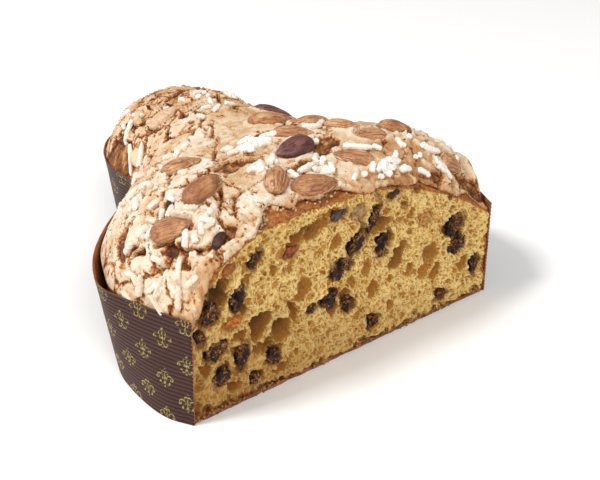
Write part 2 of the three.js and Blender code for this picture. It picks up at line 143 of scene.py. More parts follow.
def add(material, kind, *values, out=0, stops=(), **settings):
    """Adds a shader node and gives one of its outputs, by number or name.

    The values are set on its open inputs in their order, or linked to them. A setting with a
    capital is an input by name, and the others are the node's own. Stops are a ramp's colours.
    """
    node = material.node_tree.nodes.new("ShaderNode" + kind)
    for name, value in settings.items():
        if not name[0].isupper():
            setattr(node, name, value)
    sockets = list(zip([socket for socket in node.inputs if socket.enabled], values))
    sockets += [(node.inputs[name], settings[name]) for name in settings if name[0].isupper()]
    for socket, value in sockets:
        if isinstance(value, bpy.types.NodeSocket):
            material.node_tree.links.new(value, socket)
        else:
            socket.default_value = value
    for k, (place, colour) in enumerate(stops):
        ramp = node.color_ramp.elements
        stop = ramp[k] if k < 2 else ramp.new(place)
        stop.position, stop.color = place, linear(colour)
    if isinstance(out, str):
        return node.outputs[out]
    return [output for output in node.outputs if output.enabled][out]


def material_of(piece, name, roughness, **inputs):
    """A new material on a piece, with what is uniform set on its shader."""
    material = bpy.data.materials.new(name)
    material.use_nodes = True
    shader = material.node_tree.nodes["Principled BSDF"]
    shader.inputs["Roughness"].default_value = roughness
    for socket, value in inputs.items():
        shader.inputs[socket.replace("_", " ")].default_value = value
    piece.data.materials.append(material)
    return material


def dress(material, colour, bump):
    """Links a material's colour and its fine relief to its shader."""
    shader = material.node_tree.nodes["Principled BSDF"]
    for output, socket in ((colour, "Base Color"), (bump, "Normal")):
        material.node_tree.links.new(output, shader.inputs[socket])


RIB_STEPS = 6
rows = int(CASE_HEIGHT / RIB_PITCH * RIB_STEPS)
columns = 216
bpy.ops.mesh.primitive_grid_add(x_subdivisions=columns, y_subdivisions=rows, size=2)
case = bpy.context.object
case.name = "case_paper"
flat = np.array([corner.co for corner in case.data.vertices])
height = (flat[:, 1] + 1) / 2 * CASE_HEIGHT
side = np.where(flat[:, 0] > 0, 1.0, -1.0)
along = TIP - np.abs(flat[:, 0]) * TIP
rib = RIB_DEPTH * np.cos(2 * np.pi * height / RIB_PITCH)
outline = ring(height, PAPER / 2 + RIB_DEPTH - rib, along)
wall = np.column_stack([outline[:, 0] * side, outline[:, 1], height])
wall[:, 0] -= 0.3 * np.abs(lumps(wall, 22, seed=3)) * smoothstep(8, 50, height) * side
ragged = 0.3 * np.abs(lumps(wall, 5, seed=5, octaves=2)) * (height > CASE_HEIGHT - 0.9)
wall[:, 2] = np.maximum(height - ragged, PAPER / 2)
shape_to(case, wall)

# The print is laid out along the wall, in mm from the cut's left end, and up from the base.
fine = np.linspace(0, TIP, 600)
line = (smooth_line(RIM_HALF, fine) + smooth_line(BASE_HALF, fine)) / 2
run = np.concatenate([[0], np.cumsum(np.linalg.norm(np.diff(line, axis=0), axis=1))])
arc = np.interp(along, fine, run)
arc = np.where(side < 0, arc, 2 * run[-1] - arc)
corners = np.zeros(len(case.data.loops), int)
case.data.loops.foreach_get("vertex_index", corners)
case.data.uv_layers[0].data.foreach_set(
    "uv", np.column_stack([arc[corners], height[corners]]).ravel()
)

# Printed kraft paper: dyed a reddish dark brown and calendered, so that it turns silvery where it
# is seen at a low angle.
paper = material_of(case, "printed_brown_paper", 0.45, Specular_IOR_Level=0.25)
on_sheet = add(paper, "TexCoord", out="UV")
across, up = (add(paper, "SeparateXYZ", on_sheet, out=axis) for axis in "XY")
PRINT_PITCH, PRINT_DROP = 12.0, 20.3
count = add(paper, "Math", across, 3.0, operation="ADD")
count = add(paper, "Math", count, PRINT_PITCH, operation="DIVIDE")
column = add(paper, "Math", count, operation="FLOOR")
beside = add(paper, "Math", count, column, operation="SUBTRACT")
beside = add(paper, "MapRange", beside, 0, 1, -PRINT_PITCH / 2, PRINT_PITCH / 2)
odd = add(paper, "Math", column, 2.0, operation="FLOORED_MODULO")
drop = add(paper, "Math", odd, PRINT_DROP / 2, up, operation="MULTIPLY_ADD")
above = add(paper, "Math", drop, 1.25, operation="SUBTRACT")
above = add(paper, "Math", above, PRINT_DROP, operation="FLOORED_MODULO")
above = add(paper, "Math", above, PRINT_DROP / 2, operation="SUBTRACT")
beside = add(paper, "Math", beside, operation="ABSOLUTE")
spot = add(paper, "CombineXYZ", beside, above)
STROKES = [
    # middle of the curl, its radius, the side on which it is open (1 below, -1 above, 0 a dot)
    (0.8, 2.5, 0.95, 1), (2.85, -0.1, 1.75, 1), (3.95, -0.2, 0.6, -1), (1.5, -2.6, 1.2, -1),
    (2.6, -2.5, 0.3, 0), (0.0, 4.7, 0.3, 0), (0.0, 0.1, 0.4, 0), (0.0, -4.4, 0.15, 0),
]
stroke = None
for beside_at, above_at, radius, hook in STROKES:
    far = add(paper, "VectorMath", spot, (beside_at, above_at, 0), operation="DISTANCE")
    gap = add(paper, "Math", far, radius, operation="SUBTRACT")
    if hook:
        gap = add(paper, "Math", gap, operation="ABSOLUTE")
        shut = add(paper, "Math", above, -hook, hook * above_at - 0.4, operation="MULTIPLY_ADD")
        gap = add(paper, "Math", gap, shut, operation="MAXIMUM")
    stroke = gap if stroke is None else add(paper, "Math", stroke, gap, operation="MINIMUM")
stem = add(paper, "Math", above, -0.2, operation="ADD")
stem = add(paper, "Math", stem, operation="ABSOLUTE")
stem = add(paper, "Math", stem, 2.4, operation="SUBTRACT")
stem = add(paper, "Math", stem, beside, operation="MAXIMUM")
stroke = add(paper, "Math", stroke, stem, operation="MINIMUM")
worn = add(paper, "TexNoise", on_sheet, 1.6, 3.0)
thick = add(paper, "MapRange", worn, 0.35, 0.65, 0.08, 0.24)
ink = add(paper, "Math", thick, stroke, operation="SUBTRACT")
ink = add(paper, "MapRange", ink, -0.14, 0.04)
# Painted light and shade: the ribs' crests are coloured lighter and their grooves darker, in the
# ground and in the gold.
rib_painted_light = add(paper, "Math", up, 2 * np.pi / RIB_PITCH, operation="MULTIPLY")
rib_painted_light = add(paper, "Math", rib_painted_light, operation="COSINE")
rib_painted_light = add(paper, "MapRange", rib_painted_light, -1.0, 1.0)
cloud = add(paper, "TexNoise", add(paper, "TexCoord", out="Object"), 1 / (14 * MM), 3.0)
ground = add(paper, "ValToRGB", rib_painted_light, stops=[(0.1, "#2a1512"), (0.85, "#462a25")])
warm = add(paper, "ValToRGB", rib_painted_light, stops=[(0.1, "#311914"), (0.85, "#503229")])
ground = add(paper, "Mix", cloud, ground, warm, data_type="RGBA")
gold = add(paper, "ValToRGB", rib_painted_light, stops=[(0.0, "#7d6e3e"), (1.0, "#a59654")])
colour = add(paper, "Mix", ink, ground, gold, data_type="RGBA")
fibre = add(paper, "TexNoise", on_sheet, 5.0, 2.0)
bump = add(paper, "Bump", Height=fibre, Strength=0.12, Distance=0.3 * MM)
dress(paper, colour, bump)

# Greaseproof inner side: the same paper undyed and stained by butter, darker where it has soaked.
lining = material_of(case, "greased_paper_lining", 0.5)
place = add(lining, "TexCoord", out="Object")
soak = add(lining, "TexNoise", place, 1 / (6 * MM), 4.0)
colour = add(
    lining, "ValToRGB", soak, stops=[(0.3, "#6d3420"), (0.52, "#94532f"), (0.75, "#b07a4c")]
)
fibre = add(lining, "TexNoise", place, 1 / (0.4 * MM), 2.0)
bump = add(lining, "Bump", Height=fibre, Strength=0.2, Distance=0.3 * MM)
dress(lining, colour, bump)

# The base is closed along the wall's lowest line, then the sheet gets the paper's thickness.
case.data.polygons.foreach_set("select", np.zeros(len(case.data.polygons), bool))
case.data.edges.foreach_set("select", np.zeros(len(case.data.edges), bool))
case.data.vertices.foreach_set("select", height < 1e-6)
bpy.ops.object.mode_set(mode="EDIT")
bpy.context.tool_settings.mesh_select_mode = (True, False, False)
bpy.ops.mesh.edge_face_add()
bpy.ops.mesh.select_all(action="SELECT")
bpy.ops.mesh.normals_make_consistent(inside=False)
bpy.ops.mesh.select_all(action="DESELECT")
bpy.ops.object.mode_set(mode="OBJECT")

# The knife tore the base's front edge: it is cut into short lengths and lies a little back.
front_corners = np.flatnonzero((height < 1e-6) & (along <= 0))
case.data.vertices.foreach_set("select", np.isin(np.arange(len(height)), front_corners))
bpy.ops.object.mode_set(mode="EDIT")
bpy.ops.mesh.subdivide(number_cuts=180)
bpy.ops.object.mode_set(mode="OBJECT")
for corner in case.data.vertices[len(height):]:
    spot = np.array(corner.co) / MM
    corner.co.y += (0.9 + 0.8 * float(lumps(spot, 4, seed=7, octaves=2))) * MM
sheet = case.modifiers.new("sheet", "SOLIDIFY")
sheet.thickness = PAPER * MM
sheet.offset = 0
sheet.material_offset = 1
sheet.material_offset_rim = 1
bpy.ops.object.modifier_apply(modifier="sheet")
# The knife left its cut ends flush with the cake's.
for corner in case.data.vertices:
    corner.co.y = max(corner.co.y, -CAKE_DEPTH / 2 * MM)
bpy.ops.object.shade_smooth()
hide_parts("paper_case")
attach(case, "root")

# ---- the crumb ------------------------------------------------------------------------------
# Sweet leavened dough, baked in the case: a golden, open crumb with a thin browned crust all
# round. The knife shows it from side to side, with bubbles stretched by the rising dough.

CAKE_EDGE = 50.0
GLAZE = 3.0
SIDE = 1.05
RISE = ([0, 40, 80, 120, 170], [39.3, 48.7, 45.9, 44.6, 38.1])
DOME_REACH = 90.0
LEAN = 0.6


def distance_to(points, line):
    """Distance in mm from each point to a line of straight pieces, in the line's dimensions."""
    least = np.full(points.shape[:-1], np.inf)
    for start, end in zip(line[:-1], line[1:]):
        run = end - start
        part = np.clip((points - start) @ run / (run @ run), 0, 1)
        least = np.minimum(least, np.linalg.norm(points - start - part[..., None] * run, axis=-1))
    return least


half = smooth_line(RIM_HALF, np.linspace(0, TIP, TIP * 3 + 1))
lead = np.array([half[0][0] - LEAN * DOME_REACH, -DOME_REACH])
right = np.vstack([lead, half])
RIM_LINE = np.vstack([right, right[-2::-1] * [-1, 1]])


def shoulder(x, y):
    """Length over which the top rises behind the rim: short where it is steep."""
    to_right = smoothstep(-40, 70, x)
    front_right = 45 + (14 - 45) * smoothstep(0, 24, y)
    front = 11 + (front_right - 11) * to_right
    wings = 19 + 12 * to_right
    body = front + (wings - front) * smoothstep(10, 60, y)
    return body + (13.7 - body) * smoothstep(90, 140, y)


def corner_swell(x, y, from_case):
    """The right wing's front corner swells up behind the case."""
    share = np.maximum(0, from_case - 1.7) / 3
    here = smoothstep(3, 13, y) * (1 - smoothstep(34, 50, y)) * smoothstep(62, 84, x)
    return 9 * here * share**2 * np.exp(2 * (1 - share))


def top_height(x, y, skin=0.0):
    """Height of the top, or of a surface that lies a skin's thickness inside it."""
    from_case = distance_to(np.stack([x, y], -1), RIM_LINE)
    inwards = np.maximum(0, from_case - skin)
    length = shoulder(x, y)
    share = (1 - np.exp(-inwards / length)) / (1 - np.exp(-DOME_REACH / length))
    return CAKE_EDGE + (np.interp(y, *RISE) - skin) * share + corner_swell(x, y, from_case)


def crust_height(x, y):
    """The crumb's own top: close under the glaze's surface at the cut, where the glaze is thin."""
    skin = 1.2 + (GLAZE - 1.2) * smoothstep(0, 5, y)
    return top_height(x, y, skin)


def drawn_in(points):
    """Moves points inwards, as the cake shrinks from its case, most on the left wing."""
    points = points.copy()
    reach = np.exp(-(((points[..., 1] - 58) / 26) ** 2)) * smoothstep(-72, -104, points[..., 0])
    points[..., 0] += 4.2 * reach * smoothstep(25, 48, points[..., 2])
    return points


ACROSS, UP = 360, 152
across = np.linspace(-1, 1, ACROSS + 1)
up = np.linspace(0, 1, UP + 1)
# Rows go back from the cut: close at the cut, and round the hollow corner between wing and head.
back = np.concatenate([
    np.linspace(0, 1.3, 11)[:-1], np.linspace(1.3, 6.8, 11)[:-1], np.linspace(6.8, 10.2, 14)[:-1],
    np.linspace(10.2, TIP, 8),
])

half_low = ring(np.zeros(1) + 25, SIDE, np.zeros(1))[0, 0]
line_top = crust_height(across * half_low, np.zeros(ACROSS + 1))
face_z = SIDE + up[:, None] * (line_top - SIDE)[None, :]
face_x = ring(face_z, SIDE, np.zeros(face_z.shape))[..., 0] * across
face = np.stack([face_x, np.zeros_like(face_x), face_z], -1)

PORES = [
    (-75, 61, 8, 15, -10, 9), (-81, 64, 6, 10, 0, 9), (-83, 59, 8, 4, 0, 8),
    (-31, 77, 22, 6, 24, 6), (-24, 76, 13, 7, 30, 6), (-17, 83, 9, 4, 22, 4),
    (16, 66, 13, 8, 10, 6), (28, 45, 10, 16, -28, 7), (12, 31, 7, 11, 0, 5),
    (-36, 37, 5, 12, 10, 6), (-31, 47, 9, 12, -25, 5), (-55, 38, 11, 14, -25, 9),
    (-43, 31, 11, 13, -10, 8), (-66, 37, 9, 7, 0, 6), (-61, 64, 5, 10, -20, 4),
    (-50, 26, 9, 9, 20, 8), (39, 78, 5, 8, 15, 5), (50, 38, 10, 12, -25, 5), (46, 29, 11, 8, 20, 4),
    (75, 24, 8, 9, 0, 5), (55, 25, 7, 12, -15, 5), (24, 17, 6, 7, 0, 4), (3, 20, 6, 8, 0, 3),
    (-47, 64, 4, 6, 0, 4), (68, 40, 9, 14, 10, 8), (19, 57, 8, 12, -15, 8), (-63, 49, 4, 7, 0, 7),
    (-13, 30, 8, 9, 20, 7), (-5, 36, 7, 9, -20, 6), (84, 68, 4, 8, 0, 4), (34, 66, 6, 9, -20, 4),
    (-12, 66, 6, 10, -30, 4), (62, 67, 7, 5, 10, 4), (8, 45, 6, 8, -30, 4), (-2, 40, 5, 8, 20, 4),
    (36, 34, 7, 9, -10, 4), (-70, 10, 9, 6, -20, 7), (-84, 26, 5, 10, 10, 6),
    (-56, 25, 6, 7, 20, 6), (-44, 9, 10, 5, 15, 6),
]
large, small, rim = (np.zeros(face_x.shape) for _ in range(3))


def turned(across, away, heading):
    """Distances along and beside a heading in degrees, from distances along two axes."""
    lean = np.radians(heading)
    return across * np.cos(lean) + away * np.sin(lean), away * np.cos(lean) - across * np.sin(lean)


def off_centre(x, z, width, high, turn):
    """Distance from an ellipse's middle on the cut face: 1 on the ellipse."""
    ahead, aside = turned(face_x - x, face_z - z, turn)
    return np.hypot(ahead / (width / 2), aside / (high / 2))


def dig(hollow, x, z, width, high, turn, depth, sharp=0.5, uneven=0.16):
    """Sinks one bubble into the cut face; the deepest one wins where two meet."""
    reach = max(width, high) * 0.75
    picked = (np.abs(face_x - x) < reach) & (np.abs(face_z - z) < reach)
    if not picked.any():
        return
    dx, dz = face_x[picked] - x, face_z[picked] - z
    ahead, aside = turned(dx, dz, turn)
    octaves = 2 if uneven > 0.2 else 1
    wobble = uneven * lumps(
        np.column_stack([dx + 3 * x, dz + 5 * z, dx * 0]), 0.45 * min(width, high), 2, octaves
    )
    inside = 1 - ((2 * ahead / width) ** 2 + (2 * aside / high) ** 2) * (1 + wobble) ** 2
    hollow[picked] = np.maximum(hollow[picked], depth * np.maximum(inside, 0) ** sharp)
    if depth > 0.9:
        rim[picked] = np.maximum(rim[picked], np.exp(-((inside / (0.9 / width)) ** 2)))


CHOCOLATE = [
    (-81, 54, 9, 9, 0), (-66, 56, 6, 13, -20), (-86, 44, 5, 7, 10), (-79, 34, 11, 8, 20),
    (-65, 25, 6, 14, -8), (-76, 19, 7, 12, -25), (-48, 18, 8, 8, 0), (-58, 10, 7, 6, 30),
    (-57, 73, 4.5, 9, -25), (0, 62, 7, 14, -32), (-9, 51, 12, 7, 20), (10, 71, 4, 14, -20),
    (17, 55, 7, 11, -15), (-15, 36, 9, 7, 25), (-4, 29, 7, 7, 0), (-26, 35, 5, 4, 0),
    (13, 11, 6, 7, -15), (66, 49, 13, 8, 35), (69, 37, 9, 10, 10), (84, 20, 6, 10, 0),
    (60, 9, 7, 4, 10),
]
FRUIT = [
    (-11, 80, 11, 5, 15), (1, 77, 7, 8, -25), (-69, 45, 9, 5, 15), (-38, 70, 9, 5, 20),
    (44, 60, 8, 7, 0), (-70, 73, 8, 4, 25), (22, 80.5, 8, 4, 10),
]
stain, cocoa = np.zeros(face_x.shape), np.zeros(face_x.shape)
blotch = lumps(face, 3.5, seed=28, octaves=2)
for pore in PORES:
    dig(large, *pore, 0.5, 0.42)
for spot in CHOCOLATE:
    dig(large, spot[0], spot[1], spot[2] + 2.4, spot[3] + 2.4, spot[4], 5.2, 0.45, 0.5)
    gap = (off_centre(*spot) - 1) * 0.5 * min(spot[2:4])
    cocoa = np.maximum(cocoa, 1 - smoothstep(0.6, 2.4, gap - 1.4 * blotch))
for spot in FRUIT:
    dig(large, spot[0], spot[1], spot[2] + 1.4, spot[3] + 1.4, spot[4], 2.4, 0.6, 0.3)
    gap = (off_centre(*spot) - 1) * 0.5 * min(spot[2:4])
    stain = np.maximum(stain, 1 - smoothstep(0.0, 3.5, gap - 1.5 * blotch))
# The edges of the large bubbles, kept as a mask for a painted highlight.
large_pore_rim_highlight = rim.copy()
random = np.random.default_rng(11)
for size, count in (((3.0, 5.4), 270), ((2.0, 3.4), 1500), ((1.2, 2.0), 2800)):
    for _ in range(count):
        x, z = random.uniform(-91, 91), random.uniform(3, 88)
        width = random.uniform(*size)
        long = width * random.uniform(1.0, 1.8)
        turn = random.normal(-20, 35)
        dig(small, x, z, width, long, turn, width * random.uniform(0.45, 1.0), 0.6)
between = 1 - 0.9 * smoothstep(0.3, 2.0, large)
hollow = large + small * between
rim = np.maximum(large_pore_rim_highlight, rim * between)

FACE_HALF = 91.6
edge = np.minimum.reduce(
    [face_z - SIDE, line_top[None, :] - face_z, np.abs(np.abs(face_x) - FACE_HALF)]
)
bottom = 1.3 + 2.8 * smoothstep(-10, -80, face_x) + 1.9 * lumps(face, 6, seed=27, octaves=3)
baked_in = np.maximum(
    np.exp(-edge / 0.8), 1 - smoothstep(0.4, 1.3, (face_z - SIDE) / np.maximum(bottom, 0.3))
)
baked_in = np.maximum(
    baked_in, 1 - smoothstep(0.5, 1.6, np.abs(face_x - FACE_HALF) / (1.5 + lumps(face, 5, seed=29)))
)
relief = hollow + 0.6 * lumps(face, 9, seed=21, octaves=3)
relief += 0.3 * lumps(face, 1.4, seed=22, octaves=2)
relief += large * 0.1 * lumps(face, 2.6, seed=25, octaves=2)
relief -= 0.35 * np.exp(-edge / 1.5) * lumps(face, 2.5, seed=23, octaves=2)
relief += 4.0 * np.exp(-(face_z - SIDE) / 2.4) * np.maximum(lumps(face, 5, seed=26, octaves=3), 0)
face[..., 1] = np.maximum(relief + 0.5, 0.02)
face[..., 2] += (1.0 + 3.6 * lumps(face, 4, seed=24, octaves=3)) * np.exp(-up[:, None] * 40)
face[..., 2] = np.maximum(face[..., 2], PAPER + 0.15)

z_edge = np.full(len(back), CAKE_EDGE)
side_line = ring(z_edge, SIDE, back)
top = np.zeros((len(back), ACROSS + 1, 3))
top[..., 0] = side_line[:, :1] * across
top[..., 1] = side_line[:, 1:]
top[..., 2] = crust_height(top[..., 0], top[..., 1])
near = np.exp(-top[..., 1] / 14) * smoothstep(0, 6, top[..., 2] - CAKE_EDGE)
top[..., 2] += near * (0.7 * lumps(top, 7, seed=31, octaves=3) + 0.35 * lumps(top, 1.8, seed=32))
top[0] = face[-1]
under = top.copy()
low_line = ring(np.full(len(back), SIDE), SIDE, back)
under[..., 0] = low_line[:, :1] * across
under[..., 1] = low_line[:, 1:]
under[..., 2] = SIDE
under[0] = face[0]
flanks = []
for end in (0, -1):
    flank = np.zeros((len(back), UP + 1, 3))
    level = SIDE + up[None, :] * (top[:, end, 2:] - SIDE)
    where = ring(level, SIDE, np.broadcast_to(back[:, None], level.shape))
    flank[..., 0] = where[..., 0] * across[end]
    flank[..., 1] = where[..., 1]
    flank[..., 2] = level
    flank[0] = face[:, end]
    flank[:, -1] = top[:, end]
    flank[:, 0] = under[:, end]
    flanks.append(flank)


def grid_faces(shape, first):
    """Four-cornered faces of a grid of points numbered from first."""
    number = first + np.arange(shape[0] * shape[1]).reshape(shape)
    return np.stack(
        [number[:-1, :-1], number[:-1, 1:], number[1:, 1:], number[1:, :-1]], -1
    ).reshape(-1, 4)


def closed_up(piece, merged=False):
    """Links a new piece, sews the points that meet where asked, and turns its faces outward."""
    bpy.context.collection.objects.link(piece)
    bpy.ops.object.select_all(action="DESELECT")
    bpy.context.view_layer.objects.active = piece
    piece.select_set(True)
    bpy.ops.object.mode_set(mode="EDIT")
    bpy.ops.mesh.select_all(action="SELECT")
    if merged:
        bpy.ops.mesh.remove_doubles(threshold=1e-6)
    bpy.ops.mesh.normals_make_consistent(inside=False)
    bpy.ops.object.mode_set(mode="OBJECT")


def sewn(name, sheets, attributes=(), extra=()):
    """One closed mesh from grids of points that share their edges, with its values per point."""
    points = np.vstack([sheet.reshape(-1, 3) for sheet in sheets])
    faces, first = [], 0
    for sheet in sheets:
        faces.append(grid_faces(sheet.shape[:2], first))
        first += sheet.shape[0] * sheet.shape[1]
    quads = np.vstack(faces)
    loops = np.concatenate([quads.ravel(), *[np.asarray(more).ravel() for more in extra]])
    sizes = np.concatenate([np.full(len(quads), 4), *[np.full(len(more), 3) for more in extra]])
    mesh = bpy.data.meshes.new(name)
    mesh.vertices.add(len(points))
    mesh.loops.add(len(loops))
    mesh.polygons.add(len(sizes))
    mesh.loops.foreach_set("vertex_index", loops)
    mesh.polygons.foreach_set("loop_start", np.concatenate([[0], np.cumsum(sizes)[:-1]]))
    piece = bpy.data.objects.new(name, mesh)
    shape_to(piece, points)
    mesh.update(calc_edges=True)
    for label, values in attributes:
        mesh.attributes.new(label, "FLOAT", "POINT").data.foreach_set("value", values.ravel())
    closed_up(piece, merged=True)
    bpy.ops.object.shade_smooth()
    return piece


sheets = [face, top, under, *flanks]
behind = sum(sheet[..., 0].size for sheet in sheets[1:])
values = [
    (label, np.concatenate([on_face.ravel(), np.full(behind, elsewhere)]))
    for label, on_face, elsewhere in (
        ("crust", baked_in, 1.0), ("hollow", hollow, 0.0), ("stain", stain, 0.0),
        ("cocoa", cocoa, 0.0), ("rim", rim, 0.0),
    )
]
crumb = sewn("cake_crumb", [drawn_in(sheet) for sheet in sheets], values)

# Egg-rich crumb: matt and springy, golden, amber where fruit has bled into it. Its bubbles carry
# painted shade, brown and a little green with their depth, and a painted highlight on their rims.
golden = material_of(crumb, "egg_yolk_crumb", 0.85, Specular_IOR_Level=0.2)
place = add(golden, "TexCoord", out="Object")
# The bubbles' depth and rims drive painted shade and a painted highlight below.
sunk, thin, baked, bled, melted = (
    add(golden, "Attribute", out="Fac", attribute_name=name)
    for name in ("hollow", "rim", "crust", "stain", "cocoa")
)
warp = add(golden, "TexNoise", place, 1 / (2.6 * MM), 2.0, out="Color")
warp = add(golden, "VectorMath", warp, (0.5, 0.5, 0.5), operation="SUBTRACT")
drawn = add(golden, "VectorMath", warp, (2.2 * MM,) * 3, place, operation="MULTIPLY_ADD")
foam = add(golden, "TexVoronoi", drawn, 1 / (2.1 * MM), feature="DISTANCE_TO_EDGE")
fine_foam = add(golden, "TexVoronoi", drawn, 1 / (0.95 * MM), feature="DISTANCE_TO_EDGE")
sponge = add(golden, "Math", fine_foam, 0.35, foam, operation="MULTIPLY_ADD")
grain = add(golden, "TexNoise", place, 1 / (0.8 * MM), 3.0, 0.7)
cloud = add(golden, "TexNoise", place, 1 / (9 * MM), 3.0)
pit = add(golden, "Math", grain, 0.35, sponge, operation="MULTIPLY_ADD")
# Painted shade: each cell of the fine foam is coloured darker towards its middle and lighter at its
# walls, for bubbles too fine for the mesh.
web = add(
    golden, "ValToRGB", pit,
    stops=[(0.06, "#f4e2aa"), (0.3, "#e3c27a"), (0.5, "#cd9f4f"), (0.74, "#a87731")]
)
duller = add(
    golden, "ValToRGB", pit,
    stops=[(0.06, "#e4c886"), (0.3, "#cfa65a"), (0.5, "#b4843c"), (0.74, "#8f6026")]
)
cloud = add(golden, "MapRange", cloud, 0.4, 0.6)
colour = add(golden, "Mix", cloud, web, duller, data_type="RGBA")
# Painted shade for the bubbles: brown by their depth, browner and near black in the deepest.
inside = add(
    golden, "ValToRGB", pit, stops=[(0.2, "#c2903c"), (0.45, "#966325"), (0.75, "#6c4115")]
)
wall = add(golden, "ValToRGB", grain, stops=[(0.35, "#8a5520"), (0.65, "#b98038")])
syrup = add(golden, "Math", bled, grain, operation="MULTIPLY")
smear = add(golden, "Math", melted, grain, -0.12, operation="MULTIPLY_ADD")
leaning = add(golden, "VectorMath", place, (0.35, 0, 1), operation="DOT_PRODUCT")
# Laid over each other: painted shade in the bubbles by depth, a painted highlight on their edges,
# the stains, and a darker tone towards the lower left.
for cause, none_at, full_at, most, tone in (
    (sunk, 0.25, 1.2, 0.9, inside), (sunk, 1.6, 2.8, 0.85, wall),
    (sunk, 2.8, 8.0, 0.9, linear("#3a2210")), (thin, 0.5, 1.0, 0.75, linear("#f0d894")),
    (syrup, 0.2, 0.6, 0.7, linear("#8f4f1c")), (smear, 0.1, 0.4, 0.85, linear("#55301a")),
    (leaning, 36 * MM, -16 * MM, 0.6, linear("#8f5a1c")),
):
    share = add(golden, "MapRange", cause, none_at, full_at, 0, most)
    colour = add(golden, "Mix", share, colour, tone, data_type="RGBA")
toast = add(golden, "TexNoise", place, 1 / (2.0 * MM), 4.0, 0.7)
upper = add(
    golden, "ValToRGB", toast,
    stops=[(0.3, "#74401c"), (0.46, "#98582a"), (0.6, "#b37640"), (0.75, "#cf9c5c")]
)
lower = add(
    golden, "ValToRGB", toast,
    stops=[(0.34, "#28120a"), (0.46, "#5c3017"), (0.58, "#8a5428"), (0.7, "#b98a4c")]
)
height_of = add(golden, "SeparateXYZ", place, out="Z")
high_up = add(golden, "MapRange", height_of, 5 * MM, 14 * MM)
brown = add(golden, "Mix", high_up, lower, upper, data_type="RGBA")
edge_of = add(golden, "Math", toast, 1.4, baked, operation="MULTIPLY_ADD")
edge_of = add(golden, "MapRange", edge_of, 0.95, 1.35)
colour = add(golden, "Mix", edge_of, colour, brown, data_type="RGBA")
bump = add(golden, "Bump", Height=pit, Strength=0.7, Distance=0.5 * MM, invert=True)
dress(golden, colour, bump)
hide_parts("crumb")
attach(crumb, "root")

# ---- the glaze ------------------------------------------------------------------------------
# Almond meringue poured on before baking. It dries to a pale crust, and the rising dough breaks
# it into plates with brown cracks between them. It has flaked back from the knife's cut.

BROAD, LONG, STRIDE = 304, 288, 4
CRACKS = [
    # width, depth, line in plan
    (3.4, 3.4, [(-97, 39), (-91, 31), (-85, 23), (-83, 15), (-78, 10), (-74, 6), (-72, 0)]),
    (2.0, 2.0, [(-89, 63), (-97, 54), (-104, 46)]),
    (3.2, 3.2, [(-99, 61), (-95, 58), (-90, 50), (-86, 49), (-81, 46), (-72, 49), (-63, 63),
                (-57, 68), (-49, 62), (-41, 59)]),
    (2.4, 2.6, [(-86, 49), (-84, 40), (-81, 34), (-84, 30)]),
    (3.0, 3.0, [(-52, 6), (-56, 15), (-58, 22), (-57, 30), (-47, 38), (-43, 46), (-43, 56),
                (-26, 81), (-15, 102), (-7, 105), (3, 107)]),
    (2.4, 2.4, [(-58, 24), (-66, 14), (-67, 6)]),
    (2.4, 2.4, [(-42, 99), (-48, 79), (-60, 68), (-67, 74), (-70, 80)]),
    (3.0, 2.8, [(-17, 133), (-19, 118), (-21, 99), (-27, 82)]),
    (3.6, 3.2, [(-46, 170), (-38, 165), (-34, 154), (-28, 147), (-20, 143), (-14, 150)]),
    (2.6, 2.4, [(-40, 162), (-45, 152), (-47, 143)]),
    (2.4, 2.2, [(-10, 172), (-8, 154), (-1, 148)]),
    (2.4, 2.4, [(-16, 143), (-19, 123), (-21, 106), (-17, 105), (-11, 121)]),
    (2.2, 2.0, [(-30, 176), (-18, 164), (-4, 172)]),
    (3.2, 3.0, [(37, 29), (33, 20), (34, 13), (39, 9), (48, 7), (58, 5)]),
    (3.4, 3.0, [(12, 44), (11, 38), (6, 32), (-4, 26)]),
    (2.2, 2.2, [(-4, 26), (-14, 30), (-24, 24)]),
    (2.4, 2.2, [(66, 70), (52, 80), (40, 84), (34, 60), (52, 52)]),
    (2.4, 2.2, [(30, 140), (12, 158), (20, 176), (8, 190)]),
    (2.2, 2.0, [(76, 50), (90, 42), (88, 24), (80, 12)]),
    (2.4, 2.2, [(-62, 92), (-76, 80), (-82, 68), (-72, 58)]),
    (2.6, 2.4, [(-25, 60), (-10, 66), (4, 68), (16, 78)]),
    (2.4, 2.2, [(-104, 30), (-96, 24), (-93, 14), (-90, 4)]),
]
FLAKED = [
    (-78, 1.5, 6), (-42, 12, 9), (-28, 9, 10), (-10, 9, 8), (22, 3, 10), (43, 5, 13), (77, 5.5, 9),
]
BARE = [
    # where the crust shows bare: middle in plan, long and short half width, heading
    (-47, 156, 16, 8, 95), (5, 34, 8, 5, 40), (74, 15, 6, 3, -20), (80, 8, 10, 5, -10),
    (-38, 44, 11, 5, -10), (-86, 22, 5, 2.5, 70), (58, 8, 5, 3, 0), (-98, 52, 8, 3, 60),
    (52, 96, 12, 6, 50), (-15, 26, 7, 3, 10), (-67, 8, 4, 3, 60), (-82, 38, 4, 2.5, 60),
    (12, 36, 5, 3, 60), (-4, 158, 9, 3, 20),
]
ALMONDS = [
    # middle in plan, heading of the pointed end, length, how far it stands out of the glaze
    (-82, 27, -28, 20, 1.6), (-62, 34, 20, 22, 1.8), (-55, 64, -34, 20, 1.2), (7, 81, -13, 24, 1.6),
    (27, 107, -25, 22, 1.6), (2, 54, -45, 21, 1.2), (-9, 38, -174, 22, 1.8), (-31, 22, 52, 20, 2.2),
    (-17, 12, -10, 23, 1.2), (13, 21, 138, 20, 0.8), (22, 67, 150, 20, 1.0), (27, 47, -60, 19, 1.8),
    (53, 37, -16, 19, 1.8), (34, 34, 165, 19, 0.2), (73, 15, -30, 19, 0.4), (-24, 138, -5, 19, 0.8),
    (-42, 136, -104, 18, 0.2),
]
RAISINS = [(-77, 36, 60, 9, 1.0), (-71, 7, 30, 9, 1.0)]
ALMOND_WIDE, ALMOND_THICK = 0.55, 0.34
